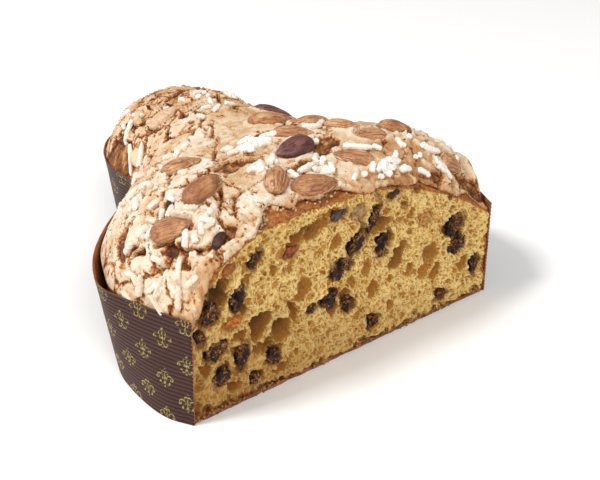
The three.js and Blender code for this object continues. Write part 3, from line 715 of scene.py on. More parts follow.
DRIFTS = [
    # where the sugar nibs lie in drifts: middle in plan, spread, count, mean heading
    (-84, 34, 8, 14, 60), (-72, 21, 10, 26, 40), (-88, 12, 7, 12, 80), (-99, 26, 6, 9, 70),
    (-72, 62, 10, 16, 10), (-50, 84, 9, 14, 50), (-22, 55, 9, 30, 0), (-28, 34, 6, 10, 20),
    (-4, 22, 6, 12, 0), (14, 9, 9, 12, 0), (27, 11, 6, 26, 30), (24, 26, 2, 2, -20),
    (44, 30, 11, 16, -30), (60, 14, 11, 20, -25), (79, 24, 9, 12, -40), (64, 44, 12, 10, 10),
    (40, 62, 12, 8, 30), (-2, 118, 10, 10, 40), (-2, 148, 14, 14, 10), (-28, 158, 10, 14, 50),
    (18, 180, 12, 10, 0), (60, 84, 10, 10, 60), (-63, 112, 7, 6, 20), (90, 40, 9, 12, -60),
    (20, 138, 12, 10, 0),
]


def on_top(line, pieces=6):
    """A line in plan, cut in short pieces and laid on the top."""
    line = np.array(line, float)
    knots = np.linspace(0, len(line) - 1, (len(line) - 1) * pieces + 1)
    x, y = (np.interp(knots, np.arange(len(line)), line[:, k]) for k in (0, 1))
    return np.column_stack([x, y, top_height(x, y)])


def flaked_back(x):
    """How far the glaze has flaked back from the cut."""
    bites = [deep * np.exp(-(((x - at) / wide) ** 2)) for at, deep, wide in FLAKED]
    ragged = np.column_stack([x, x * 0, x * 0])
    return 0.4 + np.max(bites, axis=0) + 2.4 * np.abs(lumps(ragged, 6, seed=41, octaves=3))


u = np.linspace(-1, 1, BROAD + 1)
spread = 0.25 * u + 0.75 * np.sin(u * np.pi / 2)
along = np.linspace(0, TIP, LONG + 1)
line = ring(np.full(len(along), CAKE_EDGE + 3), SIDE, along)
plan = np.stack([line[:, :1] * spread, np.broadcast_to(line[:, 1:], (LONG + 1, BROAD + 1))], -1)
plan[..., 1] += flaked_back(plan[0, :, 0]) * (1 - smoothstep(0, 45, plan[..., 1]))
smooth = np.dstack([plan, top_height(plan[..., 0], plan[..., 1])])


def normals_of(points):
    """Outward directions of a grid of points that looks up."""
    down, over = np.gradient(points, axis=0), np.gradient(points, axis=1)
    out = np.cross(over, down)
    length = np.linalg.norm(out, axis=-1, keepdims=True)
    return np.where(length > 1e-9, out / np.maximum(length, 1e-9), [0, 1, 0])


out = normals_of(smooth)
from_rim = smoothstep(1.5, 9, distance_to(smooth[..., :2], RIM_LINE))
warps = [
    3.4 * lumps(smooth, 9, seed=50 + k, octaves=2) + 1.3 * lumps(smooth, 2.6, seed=53 + k)
    for k in range(3)
]
warped = smooth + np.stack(warps, -1)
crack_and_shade = np.full(smooth.shape[:2], 9.0)
valley, bare = np.zeros(smooth.shape[:2]), np.zeros(smooth.shape[:2])
for width, depth, line in CRACKS:
    wide = width * (0.65 + 0.6 * lumps(smooth, 8, seed=57, octaves=2))
    gap = distance_to(warped, on_top(line)) - wide / 2
    crack_and_shade = np.minimum(crack_and_shade, gap)
    valley = np.maximum(valley, depth * (1 - smoothstep(-0.7, 0.6, gap)))

for x, y, long, short, heading in BARE:
    ahead, aside = turned(warped[..., 0] - x, warped[..., 1] - y, heading)
    gap = (np.hypot(ahead / long, aside / short) - 1) * short
    crack_and_shade = np.minimum(crack_and_shade, gap)
    valley = np.maximum(valley, 1.7 * (1 - smoothstep(-0.8, 0.9, gap)))
    bare = np.maximum(bare, 1 - smoothstep(-2.0, -0.6, gap))

random = np.random.default_rng(5)
pick = random.integers(0, smooth.shape[0] * smooth.shape[1], 900)
seeds = smooth.reshape(-1, 3)[pick]
kept = []
for seed in seeds:
    apart = 10 if seed[0] < -62 or seed[1] > 128 else 18
    if all(np.linalg.norm(seed - other) > apart for other in kept):
        kept.append(seed)
kept = np.array(kept)
levels = random.uniform(-0.5, 0.7, len(kept))
flat_points = warped.reshape(-1, 3)
first = np.full(len(flat_points), np.inf)
second = np.full(len(flat_points), np.inf)
owner = np.zeros(len(flat_points), int)
for k, seed in enumerate(kept):
    far = np.linalg.norm(flat_points - seed, axis=1)
    closer = far < first
    second = np.where(closer, first, np.minimum(second, far))
    owner = np.where(closer, k, owner)
    first = np.where(closer, far, first)
seam = ((second - first) / 2).reshape(crack_and_shade.shape)
open_here = smoothstep(
    -0.45, 0.25, lumps(smooth, 14, seed=61, octaves=2) - 0.5 * smoothstep(30, 60, smooth[..., 0])
)
hair = seam - open_here * (0.9 + 0.9 * lumps(smooth, 4, seed=60, octaves=2)) + 0.35
level = levels[owner].reshape(crack_and_shade.shape) * smoothstep(0, 1.6, seam) * from_rim
crack_and_shade = np.minimum(crack_and_shade, hair)
valley = np.maximum(valley, 1.7 * open_here * (1 - smoothstep(-0.4, 0.5, hair)))

evened = 1 - 0.6 * smoothstep(5, 40, smooth[..., 0]) * (1 - smoothstep(100, 130, smooth[..., 1]))
rise = level + 0.8 * lumps(smooth, 11, seed=62, octaves=3)
rise += 0.5 * evened * lumps(smooth, 2.1, seed=63, octaves=2)
rise += 0.7 * np.exp(-((crack_and_shade - 1.0) / 0.8) ** 2) * smoothstep(0.4, 2.4, valley + 1.2)
pits = smoothstep(0.45, 0.75, lumps(smooth, 2.4, seed=64))
pits *= 0.35 + 0.65 * smoothstep(5, 1.5, crack_and_shade)
rise -= 0.8 * pits
crack_and_shade = np.minimum(crack_and_shade, 1.0 - 1.6 * pits)
rise += 1.3 * lumps(smooth, 8, seed=65, octaves=2) * smoothstep(128, 150, smooth[..., 1])
fold = bare * (
    1.6 * lumps(smooth * [1, 1, 0.12], 3.6, seed=66, octaves=2)
    + 0.8 * lumps(smooth, 1.9, seed=69, octaves=2)
)
rise += fold
crumble = np.exp(-(plan[..., 1] - plan[:1, :, 1]) / 4.0) * smoothstep(52, 60, smooth[..., 2])
rise += crumble * (1.9 * lumps(smooth, 2.5, seed=67, octaves=3) + 0.6)
pits = crumble * smoothstep(0.1, 0.45, lumps(smooth, 2.4, seed=73, octaves=2))
rise -= 1.7 * pits
crack_and_shade = np.minimum(crack_and_shade, 1.0 - 1.9 * pits)

# Glaze has run over the sugar on the left: each nib under it shows as a short swelling.
surface_x, surface_y = smooth[..., 0], smooth[..., 1]
swelling = np.zeros(smooth.shape[:2])
random = np.random.default_rng(17)
for x, y, spread, count, heading in DRIFTS:
    for _ in range(int(count * (1.1 if x < -15 else 0.4))):
        middle = np.array([x, y]) + random.normal(0, 0.62 * spread, 2)
        turn = heading + random.normal(0, 38)
        long, radius = random.uniform(0.8, 2.6), random.uniform(1.2, 1.7)
        near = (np.abs(surface_x - middle[0]) < 7) & (np.abs(surface_y - middle[1]) < 7)
        ahead, aside = turned(surface_x[near] - middle[0], surface_y[near] - middle[1], turn)
        off = np.hypot(np.maximum(np.abs(ahead) - long, 0), aside)
        swelling[near] = np.maximum(
            swelling[near], 0.8 * np.sqrt(np.maximum(radius**2 - off**2, 0))
        )
rise += swelling * (1 - smoothstep(0.2, 1.5, valley))

# It grips the almonds: a low rim round each one, higher on those that sank in, and room under it.
SUNK_IN = (5, 11, 12, 13, 14)
for number_of, (x, y, heading, length, stands) in enumerate(ALMONDS + RAISINS, 1):
    ahead, aside = turned(surface_x - x, surface_y - y, heading)
    off = np.hypot(ahead / (0.5 * length), aside / (0.5 * ALMOND_WIDE * length)) - 1
    off = off * 0.36 * length
    grip = 1.5 if number_of in SUNK_IN or number_of > len(ALMONDS) else 0.6
    seat = smoothstep(-2.2, -0.4, off + 0.5 * (grip - 0.6))
    rise = rise * (0.25 + 0.75 * seat) + grip * np.exp(-((off - 0.6) / 1.2) ** 2) - 1.8 * (1 - seat)
    # Painted shade: the glaze round each almond and raisin is coloured as a dark crack edge where
    # it meets it.
    crack_and_shade = np.minimum(crack_and_shade, np.abs(off + 0.3) + 0.25 + 0.3 * lumps(smooth, 4, seed=68))
crack_and_shade -= 0.5 * smoothstep(95, 125, surface_y)
lifted = smooth + out * ((rise - valley) * from_rim)[..., None]
BEHIND_CUT, HIGHEST = 0.03, 103.75
lifted[..., 1] = np.maximum(lifted[..., 1], BEHIND_CUT)
lifted[..., 2] = np.minimum(lifted[..., 2], HIGHEST)

floor_z = top_height(plan[..., 0], plan[..., 1], GLAZE) + 0.3
low = np.dstack([plan, floor_z])
coarse = low[::STRIDE, ::STRIDE]
LIP = 6
share = np.linspace(0, 1, LIP + 1)[:, None, None]
lip = lifted[0] * (1 - share) + low[0] * share
bulge = np.sin(np.pi * share[..., 0]) * smoothstep(51, 56, smooth[0, :, 2])
lip[..., 1] -= bulge * (0.7 + 2.2 * lumps(lip, 2.0, seed=71, octaves=3))
lip[..., 2] += 1.2 * bulge * lumps(lip, 2.0, seed=72, octaves=2)
lip[..., 1] = np.maximum(lip[..., 1], BEHIND_CUT)
lip = lip[:-1]

sheets = [lifted, lip, coarse]
firsts = np.cumsum([0, lifted[..., 0].size, lip[..., 0].size])
number, lip_number, low_number = (
    first + np.arange(sheet[..., 0].size).reshape(sheet.shape[:2])
    for first, sheet in zip(firsts, sheets)
)


def stitched(fine, low):
    """Triangles between a fine edge and a coarse edge with one point for every STRIDE."""
    nearest = (np.arange(len(fine)) + STRIDE // 2) // STRIDE
    triangles = [(fine[k], fine[k + 1], low[nearest[k]]) for k in range(len(fine) - 1)]
    for k in range(len(fine) - 1):
        if nearest[k] != nearest[k + 1]:
            triangles.append((fine[k + 1], low[nearest[k + 1]], low[nearest[k]]))
    return np.array(triangles)


ends = [
    [(lip_number[k, end], lip_number[k + 1, end], low_number[0, low_end]) for k in range(LIP - 1)]
    for end, low_end in ((0, 0), (BROAD, BROAD // STRIDE))
]
seams = [
    stitched(lip_number[-1], low_number[0]),
    stitched(number[:, 0], low_number[:, 0]),
    stitched(number[:, -1], low_number[:, -1]),
    *[np.array(fan) for fan in ends],
]
browning_and_shade = smoothstep(-55, 45, smooth[..., 0] + 12 * lumps(smooth, 30, seed=81)) * 0.4
# Painted light and shade: raised parts are coloured paler and low ones more tan.
browning_and_shade += 0.2 * lumps(smooth, 16, seed=82, octaves=2) - 0.3 * np.clip(rise, -0.9, 1.4)
browning_and_shade += 0.3 * smoothstep(16, 3, smooth[..., 1]) - 0.25 * smoothstep(45, 72, smooth[..., 0])
browning_and_shade *= 1 - 0.7 * smoothstep(0.2, 1.0, swelling)
# Painted shade: the lip is coloured darker towards its lower edge, under its overhang.
lip_values = np.linspace(1.0, -0.2, LIP)[:, None] * np.ones(lip.shape[:2])
values = [
    (label, np.concatenate([on_top.ravel(), on_lip.ravel(), np.full(coarse[..., 0].size, under)]))
    for label, on_top, on_lip, under in (
        ("crack_and_shade", crack_and_shade, 1.2 * lip_values, -1.0), ("bare", bare, 0 * lip_values, 1.0),
        ("browning_and_shade", browning_and_shade, np.tile(browning_and_shade[0], LIP), 1.0),
    )
]
glaze = sewn("cake_glaze", [drawn_in(sheet) for sheet in sheets], values, seams)

# Baked almond meringue: dull and pale as biscuit, tan where the oven was hotter and, as painted
# shade, in its low parts, its broken edges grainy and caramel brown, with the dark crust of the
# dough at the bottom of each crack.
meringue = material_of(glaze, "baked_almond_meringue", 0.7, Specular_IOR_Level=0.35)
place = add(meringue, "TexCoord", out="Object")
broken, open_crust, heat_and_shade = (
    add(meringue, "Attribute", out="Fac", attribute_name=name)
    for name in ("crack_and_shade", "bare", "browning_and_shade")
)
cloud = add(meringue, "TexNoise", place, 1 / (5 * MM), 5.0, 0.6)
grain = add(meringue, "TexNoise", place, 1 / (0.9 * MM), 3.0, 0.7)
tint = add(meringue, "Math", cloud, 0.9, heat_and_shade, operation="MULTIPLY_ADD")
tint = add(meringue, "Math", grain, 0.4, tint, operation="MULTIPLY_ADD")
tint = add(meringue, "Math", tint, 0.2, operation="SUBTRACT")
skin = add(meringue, "ValToRGB", tint, stops=[
    (0.05, "#fbf0e0"), (0.3, "#f1ddc3"), (0.55, "#e4c59f"), (0.8, "#d3a577"), (1.0, "#bd8857"),
])
pin = add(meringue, "TexVoronoi", place, 1 / (3.2 * MM))
pin = add(meringue, "MapRange", pin, 0.16, 0.05, 0, 0.75)
skin = add(meringue, "Mix", pin, skin, linear("#a9703f"), data_type="RGBA")
# A net of hairlines, too fine for the mesh, splits the plates here and there.
stray = add(meringue, "TexNoise", place, 1 / (4 * MM), 4.0, 0.6, out="Color")
stray = add(meringue, "VectorMath", stray, (0.5, 0.5, 0.5), operation="SUBTRACT")
stray = add(meringue, "VectorMath", stray, (5.5 * MM,) * 3, place, operation="MULTIPLY_ADD")
vein = add(meringue, "TexVoronoi", stray, 1 / (8 * MM), feature="DISTANCE_TO_EDGE")
split = add(meringue, "TexNoise", place, 1 / (10 * MM), 3.0)
split = add(meringue, "MapRange", split, 0.5, 0.68, -0.025, 0.05)
vein = add(meringue, "Math", vein, split, operation="SUBTRACT")
vein = add(meringue, "MapRange", vein, 0.03, -0.015)
opened = add(meringue, "Math", vein, 0.8, operation="MULTIPLY")
skin = add(meringue, "Mix", opened, skin, linear("#b56d33"), data_type="RGBA")
ragged = add(meringue, "MapRange", grain, 0.3, 0.7, -0.6, 0.6)
near = add(meringue, "Math", broken, ragged, operation="ADD")
near = add(meringue, "MapRange", near, -1.1, 0.9)
torn = add(meringue, "ValToRGB", near, stops=[
    (0.08, "#3a1a0b"), (0.28, "#7a3d1a"), (0.44, "#ab652c"), (0.6, "#cb9053"), (0.8, "#dcb88c"),
])
whole = add(meringue, "MapRange", near, 0.55, 0.85)
colour = add(meringue, "Mix", whole, torn, skin, data_type="RGBA")
# Painted shade: dark upright streaks colour the bare crust as if shaded in its folds.
upright = add(meringue, "VectorMath", place, (1, 1, 0.12), operation="MULTIPLY")
painted_fold_shade = add(meringue, "TexNoise", upright, 1 / (3.5 * MM), 3.0)
crust_tint = add(meringue, "Math", painted_fold_shade, 1.3, grain, operation="MULTIPLY_ADD")
crust_tint = add(meringue, "MapRange", crust_tint, 0.75, 1.55)
crust_tint = add(
    meringue, "ValToRGB", crust_tint,
    stops=[(0.2, "#4a2410"), (0.45, "#834a20"), (0.7, "#b0763f"), (0.9, "#cf9f68")]
)
colour = add(meringue, "Mix", open_crust, colour, crust_tint, data_type="RGBA")
bump = add(meringue, "Bump", Height=cloud, Strength=0.8, Distance=1.4 * MM)
bump = add(meringue, "Bump", Height=vein, Strength=0.4, Distance=0.4 * MM, Normal=bump, invert=True)
bump = add(meringue, "Bump", Height=grain, Strength=0.9, Distance=0.9 * MM, Normal=bump)
dress(meringue, colour, bump)
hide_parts("glaze")
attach(glaze, "root")

# ---- the almonds ----------------------------------------------------------------------------
# Whole almonds in their skins, pressed into the wet glaze before baking. Two have baked dark,
# one on the head is dusted with glaze and the one beside it is covered.

DARK, DUSTED, COVERED = (5, 7), (16,), (17,)
BAKED = {1: 0.1, 2: 0.12, 9: 0.06, 13: 0.08, 3: -0.1, 12: -0.15}


def resting_place(x, y):
    """A point of the smooth top in plan, with the direction out of it."""
    step = 0.5
    spots = [(x, y), (x + step, y), (x, y + step)]
    here, over, ahead = [
        np.array([a, b, float(top_height(np.array(a), np.array(b)))]) for a, b in spots
    ]
    normal = np.cross(over - here, ahead - here)
    return here, normal / np.linalg.norm(normal)


def laid_on_top(x, y, heading):
    """A spot of the smooth top, and the directions ahead, aside and out of what lies on it."""
    here, normal = resting_place(x, y)
    ahead = np.array([np.cos(np.radians(heading)), np.sin(np.radians(heading)), 0])
    ahead -= normal * (ahead @ normal)
    ahead /= np.linalg.norm(ahead)
    return here, np.array([ahead, np.cross(normal, ahead), normal])


for number_of, (x, y, heading, length, stands) in enumerate(ALMONDS, 1):
    bpy.ops.object.select_all(action="DESELECT")
    bpy.ops.mesh.primitive_uv_sphere_add(segments=144, ring_count=44, radius=1)
    almond = bpy.context.object
    almond.name = f"almond_in_skin_{number_of:02d}"
    ball = np.array([corner.co for corner in almond.data.vertices])
    taper = 1 - 0.3 * ball[:, 2] - 0.12 * ball[:, 2] ** 2
    shape = np.column_stack([
        ball[:, 2] * length / 2,
        ball[:, 0] * taper * ALMOND_WIDE * length / 2,
        ball[:, 1] * taper * ALMOND_THICK * length / 2,
    ])
    wrinkle = np.abs(lumps(shape * [0.07, 1, 1], 0.9, seed=90 + number_of, octaves=2))
    swell = lumps(shape, 7, seed=120 + number_of)
    fade = smoothstep(0, 0.4, np.sqrt(1 - np.clip(ball[:, 2] ** 2, 0, 1)))
    push = fade * (0.42 * (wrinkle - 0.3) + 0.4 * swell)
    shape[:, 1:] += ball[:, [0, 1]] * push[:, None]
    here, axes = laid_on_top(x, y, heading)
    placed = here + axes[2] * (stands - 0.2) + shape @ axes
    placed[:, 2] = np.minimum(placed[:, 2], HIGHEST)
    shape_to(almond, placed)
    covered = 0.6 if number_of in COVERED else 0.5 if number_of in DUSTED else 0.0
    low = 1 - smoothstep(
        -0.2, 0.5, shape[:, 2] + stands - 0.5 + 0.9 * lumps(shape, 3.5, seed=number_of)
    )
    coat = np.clip(np.maximum(low, covered), 0, 1)
    # Painted shade: the skin is coloured darker in the grooves between its wrinkles.
    for label, value in (("groove_shade", 0.9 - 0.9 * smoothstep(0.0, 0.2, wrinkle)), ("coat", coat)):
        almond.data.attributes.new(label, "FLOAT", "POINT").data.foreach_set("value", value)
    bpy.ops.object.shade_smooth()
    dark = number_of in DARK
    # Almond skin: dry and papery, ridged from end to end, with dust of the glaze on its ridges and
    # painted shade in its grooves.
    skin = material_of(almond, "dark_almond_skin" if dark else "almond_skin", 0.45 if dark else 0.6)
    place = add(skin, "TexCoord", out="Object")
    groove_shade = add(skin, "Attribute", out="Fac", attribute_name="groove_shade")
    coated = add(skin, "Attribute", out="Fac", attribute_name="coat")
    speck = add(skin, "TexNoise", place, 1 / (1.2 * MM), 4.0, 0.7)
    patch = add(skin, "TexNoise", place, 1 / (7 * MM), 2.0)
    ridge_tone = ("#532a25", "#70413a", "#8d5c50") if dark else ("#9a613a", "#b98255", "#d3a477")
    tone = add(skin, "Math", speck, 0.6, patch, operation="MULTIPLY_ADD")
    tone = add(skin, "Math", tone, BAKED.get(number_of, 0.0), operation="SUBTRACT")
    ridge_colour = add(skin, "ValToRGB", tone, stops=list(zip((0.55, 0.8, 1.0), ridge_tone)))
    colour = add(
        skin, "Mix", groove_shade, ridge_colour, linear("#35171a" if dark else "#6f4027"),
        data_type="RGBA"
    )
    dust = add(skin, "Math", speck, 0.5, coated, operation="MULTIPLY_ADD")
    dust = add(skin, "MapRange", dust, 0.55, 0.95)
    colour = add(skin, "Mix", dust, colour, linear("#ecd3b2"), data_type="RGBA")
    bump = add(skin, "Bump", Height=speck, Strength=0.25, Distance=0.3 * MM)
    dress(skin, colour, bump)
    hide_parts(f"almond_{number_of:02d}")
    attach(almond, "root")

# ---- the sugar nibs -------------------------------------------------------------------------
# Pearl sugar pressed through a die and broken: short ribbed rods and round lumps, strewn over the
# wet glaze. It bakes without melting; on the left the glaze has run over it and tinted it.

ROD_RINGS, ROD_SIDES = 10, 7
RODS = [
    # the ends, in plan, of the rods that stand out: left wing, head, ridge, right wing
    (-97, 23, -96, 15), (-101, 39, -99, 34), (-99, 35, -99, 30), (-92, 29, -90, 22),
    (-96, 20, -92, 20), (-87, 7, -83, 5), (-91, 15, -90, 10), (-99, 46, -95, 43),
    (-92, 41, -87, 39), (-86, 42, -84, 36), (-90, 35, -86, 35), (-83, 36, -79, 38),
    (-83, 47, -77, 46), (-82, 16, -78, 21), (-74, 30, -69, 26), (-72, 20, -68, 14),
    (-80, 61, -85, 55), (-104, 38, -103, 32), (-46, 140, -39, 147), (-45, 129, -37, 138),
    (-60, 102, -61, 91), (-36, 32, -30, 39), (-33, 30, -28, 37), (-27, 33, -22, 37),
    (-20, 27, -21, 19), (-18, 23, -10, 23), (-10, 17, -4, 16), (14, 30, 26, 23), (9, 56, 16, 53),
    (16, 53, 25, 60), (0, 39, 6, 39), (59, 13, 73, 13), (55, 20, 62, 17), (58, 18, 67, 18),
    (25, 13, 35, 13), (17, 9, 23, 13), (30, 8, 40, 10), (-20, 58, -12, 52), (-25, 55, -19, 50),
    (-30, 56, -25, 47), (-14, 60, -6, 57),
]
nib_points, nib_faces, nib_glazed = [], [], []
turns = np.linspace(0, 2 * np.pi, ROD_SIDES + 1)[:-1]
rod_faces = []
for first in range(0, (ROD_RINGS - 1) * ROD_SIDES, ROD_SIDES):
    for k in range(ROD_SIDES):
        this, after = first + k, first + (k + 1) % ROD_SIDES
        rod_faces.append((this, after, after + ROD_SIDES, this + ROD_SIDES))
rod_faces += [
    tuple(range(ROD_SIDES))[::-1], tuple((ROD_RINGS - 1) * ROD_SIDES + m for m in range(ROD_SIDES))
]
random = np.random.default_rng(29)


def onto_glaze(x, y):
    """The point of the glaze over a spot in plan, and the direction out of the smooth top there."""
    here, normal = resting_place(x, y)
    start = Vector((here + normal * 12 - [0, CAKE_DEPTH / 2, 0]) * MM)
    hit, place, _, _ = glaze.ray_cast(start, Vector(-normal))
    return (np.array(place) / MM + [0, CAKE_DEPTH / 2, 0] if hit else None), normal


def lay_rod(x0, y0, x1, y1, radius):
    """One pressed rod between two spots in plan, ribbed round, sunk a little in the glaze."""
    start, normal = onto_glaze(x0, y0)
    end, _ = onto_glaze(x1, y1)
    if start is None or end is None:
        return
    half_long = max(np.linalg.norm(end - start) / 2, 0.9 * radius)
    ahead = (end - start) / np.linalg.norm(end - start) + normal * random.normal(0, 0.1)
    ahead /= np.linalg.norm(ahead)
    aside = np.cross(normal, ahead)
    aside /= np.linalg.norm(aside)
    up_from = np.cross(ahead, aside)
    where = np.linspace(-1, 1, ROD_RINGS)
    rib = np.where(np.arange(ROD_RINGS) % 2, 1.0, 0.84)
    thick = radius * rib * (1 - 0.4 * np.abs(where) ** 7) * random.uniform(0.92, 1.06, ROD_RINGS)
    points = (
        where[:, None, None] * half_long * ahead
        + thick[:, None, None] * np.cos(turns)[None, :, None] * aside
        + thick[:, None, None] * np.sin(turns)[None, :, None] * up_from
    ) * (1 + 0.05 * random.standard_normal((ROD_RINGS, ROD_SIDES, 1)))
    points = points.reshape(-1, 3) + (start + end) / 2 + normal * radius * random.uniform(0.4, 0.8)
    points[:, 1] = np.maximum(points[:, 1], 0.05)
    points[:, 2] = np.minimum(points[:, 2], HIGHEST)
    first = len(nib_points) * ROD_RINGS * ROD_SIDES
    nib_points.append(points)
    nib_faces.extend(tuple(first + k for k in each) for each in rod_faces)
    nib_glazed.append(
        np.full(len(points), np.clip(random.normal(0.45, 0.25) - (x0 + 60) / 110, 0, 1))
    )


for x0, y0, x1, y1 in RODS:
    lay_rod(x0, y0, x1, y1, random.uniform(1.5, 1.85))
for x, y, spread, count, heading in DRIFTS:
    for _ in range(int(count * (0.42 if x < -60 else 0.6 if x < 15 else 0.42))):
        middle = np.array([x, y]) + random.normal(0, 0.6 * spread, 2)
        lean = np.radians(heading + random.normal(0, 42))
        radius = random.uniform(1.25, 1.75)
        half_long = random.choice(
            [radius * 0.9, random.uniform(1.9, 3.2), random.uniform(2.8, 4.2)], p=[0.3, 0.45, 0.25]
        )
        half_long = min(half_long, 2.6) if x < -60 else half_long
        from_cut = middle[1] - float(flaked_back(np.array([middle[0]]))[0])
        clear = distance_to(middle[None], RIM_LINE)[0]
        if from_cut < 1.6 or clear < radius + half_long * 0.5 + 1.2:
            continue
        blocked = False
        for almond_x, almond_y, turn, length, stands in ALMONDS:
            ahead, aside = turned(*(middle - [almond_x, almond_y]), turn)
            blocked = blocked or np.hypot(
                ahead / (0.5 * length + 2), aside / (0.28 * length + 2)
            ) < 1
        if not blocked:
            half_rod = half_long * np.array([np.cos(lean), np.sin(lean)])
            lay_rod(*(middle - half_rod), *(middle + half_rod), radius)


def scattered(name, points, faces):
    """One mesh of many small closed pieces, from their points in millimetres."""
    mesh = bpy.data.meshes.new(name)
    mesh.from_pydata(points.tolist(), [], faces)
    piece = bpy.data.objects.new(name, mesh)
    shape_to(piece, points)
    closed_up(piece)
    return piece


nibs = scattered("sugar_nibs", np.vstack(nib_points), nib_faces)
bpy.ops.object.shade_smooth_by_angle(angle=np.radians(50))
glazed = nibs.data.attributes.new("glazed", "FLOAT", "POINT")
glazed.data.foreach_set("value", np.concatenate(nib_glazed))

# Pearl sugar: pressed white crystals, chalky, cream where glaze has dried over it.
pearl = material_of(
    nibs, "pressed_pearl_sugar", 0.55, Subsurface_Weight=0.15, Subsurface_Scale=1.0 * MM
)
place = add(pearl, "TexCoord", out="Object")
glazed = add(pearl, "Attribute", out="Fac", attribute_name="glazed")
grit = add(pearl, "TexNoise", place, 1 / (0.7 * MM), 3.0)
white = add(pearl, "ValToRGB", grit, stops=[(0.3, "#efe2d3"), (0.6, "#faf4ec")])
cream = add(pearl, "ValToRGB", grit, stops=[(0.3, "#d9bfa0"), (0.65, "#eddcc6")])
colour = add(pearl, "Mix", glazed, white, cream, data_type="RGBA")
bump = add(pearl, "Bump", Height=grit, Strength=0.3, Distance=0.3 * MM)
dress(pearl, colour, bump)
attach(nibs, "root")

# ---- the chocolate and the fruit ------------------------------------------------------------
# Lumps of dark chocolate folded into the dough, and raisins and candied peel, cut across by the
# knife. Each sits in a hollow that it melted or that the rising dough left round it.

PIECE_DEPTH = 7.0


def cut_piece(name, node, slot, x, z, width, high, turn, rough, front, seed):
    """A lump whose torn front lies a little behind the cut, turned in the cut's plane."""
    bpy.ops.object.select_all(action="DESELECT")
    bpy.ops.mesh.primitive_ico_sphere_add(subdivisions=5, radius=1)
    piece = bpy.context.object
    piece.name = name
    ball = np.array([corner.co for corner in piece.data.vertices])
    shape = ball * [width / 2 * 0.92, PIECE_DEPTH - 2, high / 2 * 0.92]
    shape[:, 1] = np.where(ball[:, 1] < 0, ball[:, 1] * 1.0, shape[:, 1])
    push = 0.7 * lumps(ball * 3 + seed, 1.9, seed=seed, octaves=3) * min(width, high) / 2
    push += 0.6 * lumps(shape, 1.3, seed=seed + 5, octaves=2)
    shape = shape + ball * (rough * push)[:, None]
    lean = np.radians(turn)
    points = np.column_stack([
        x + shape[:, 0] * np.cos(lean) - shape[:, 2] * np.sin(lean),
        np.clip(
            shape[:, 1] + front + rough * 0.9 * lumps(shape, 2.6, seed=seed + 9, octaves=2), 0.04,
            PIECE_DEPTH - 0.1
        ),
        z + shape[:, 0] * np.sin(lean) + shape[:, 2] * np.cos(lean),
    ])
    shape_to(piece, points)
    bpy.ops.object.shade_smooth()
    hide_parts(node)
    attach(piece, "root")
    return piece


for number_of, spot in enumerate(CHOCOLATE, 1):
    chunk = cut_piece(
        f"chocolate_lump_{number_of:02d}", f"chocolate_{number_of:02d}", "chocolate", *spot, 1.5,
        2.6, 200 + number_of
    )
    if number_of == 1:
        # Dark chocolate, melted and set again: near black, dull, with crumbs stuck to it.
        chocolate = material_of(chunk, "set_dark_chocolate", 0.6, Specular_IOR_Level=0.25)
        place = add(chocolate, "TexCoord", out="Object")
        grit = add(chocolate, "TexNoise", place, 1 / (1.0 * MM), 4.0, 0.75)
        patch = add(chocolate, "TexNoise", place, 1 / (4.0 * MM), 2.0)
        # Parts of a lump are clean and near black, others rubbed with crumb and brown.
        rubbed = add(chocolate, "MapRange", patch, 0.4, 0.6, -0.1, 0.08)
        toned = add(chocolate, "Math", grit, rubbed, operation="ADD")
        colour = add(chocolate, "ValToRGB", toned, stops=[
            (0.38, "#1a0b07"), (0.5, "#371c12"), (0.59, "#68401f"), (0.7, "#b07a3c"),
        ])
        bump = add(chocolate, "Bump", Height=grit, Strength=0.5, Distance=0.5 * MM)
        dress(chocolate, colour, bump)
    else:
        chunk.data.materials.append(chocolate)

# Raisins keep a dull bloom on their skins; candied peel is clear and amber, as syrup dries in it.
FRUIT_LOOKS = [
    ("bloomed_raisin_skin", "#2b1e1a", "#66564b"), ("candied_citron", "#7b5a33", "#b49263"),
    ("candied_orange_peel", "#8a3f12", "#c67a2c"), ("candied_cherry", "#5e2413", "#a05a34"),
    ("candied_orange_peel_pale", "#8d5523", "#c99a52"),
    ("candied_orange_peel_dark", "#6e3414", "#a9652c"),
    ("dark_raisin_skin", "#21130c", "#4d3323"),
]
for number_of, (spot, (look, deep, light)) in enumerate(zip(FRUIT, FRUIT_LOOKS), 1):
    bit = cut_piece(
        f"fruit_bit_{number_of:02d}", f"fruit_{number_of:02d}", "candied_fruit", *spot, 0.7, 2.0,
        300 + number_of
    )
    peel = material_of(bit, look, 0.5, Specular_IOR_Level=0.25)
    place = add(peel, "TexCoord", out="Object")
    vein = add(peel, "TexNoise", place, 1 / (2.0 * MM), 3.0, Distortion=0.6)
    colour = add(peel, "ValToRGB", vein, stops=[(0.35, deep), (0.65, light)])
    bump = add(peel, "Bump", Height=vein, Strength=0.3, Distance=0.5 * MM)
    dress(peel, colour, bump)

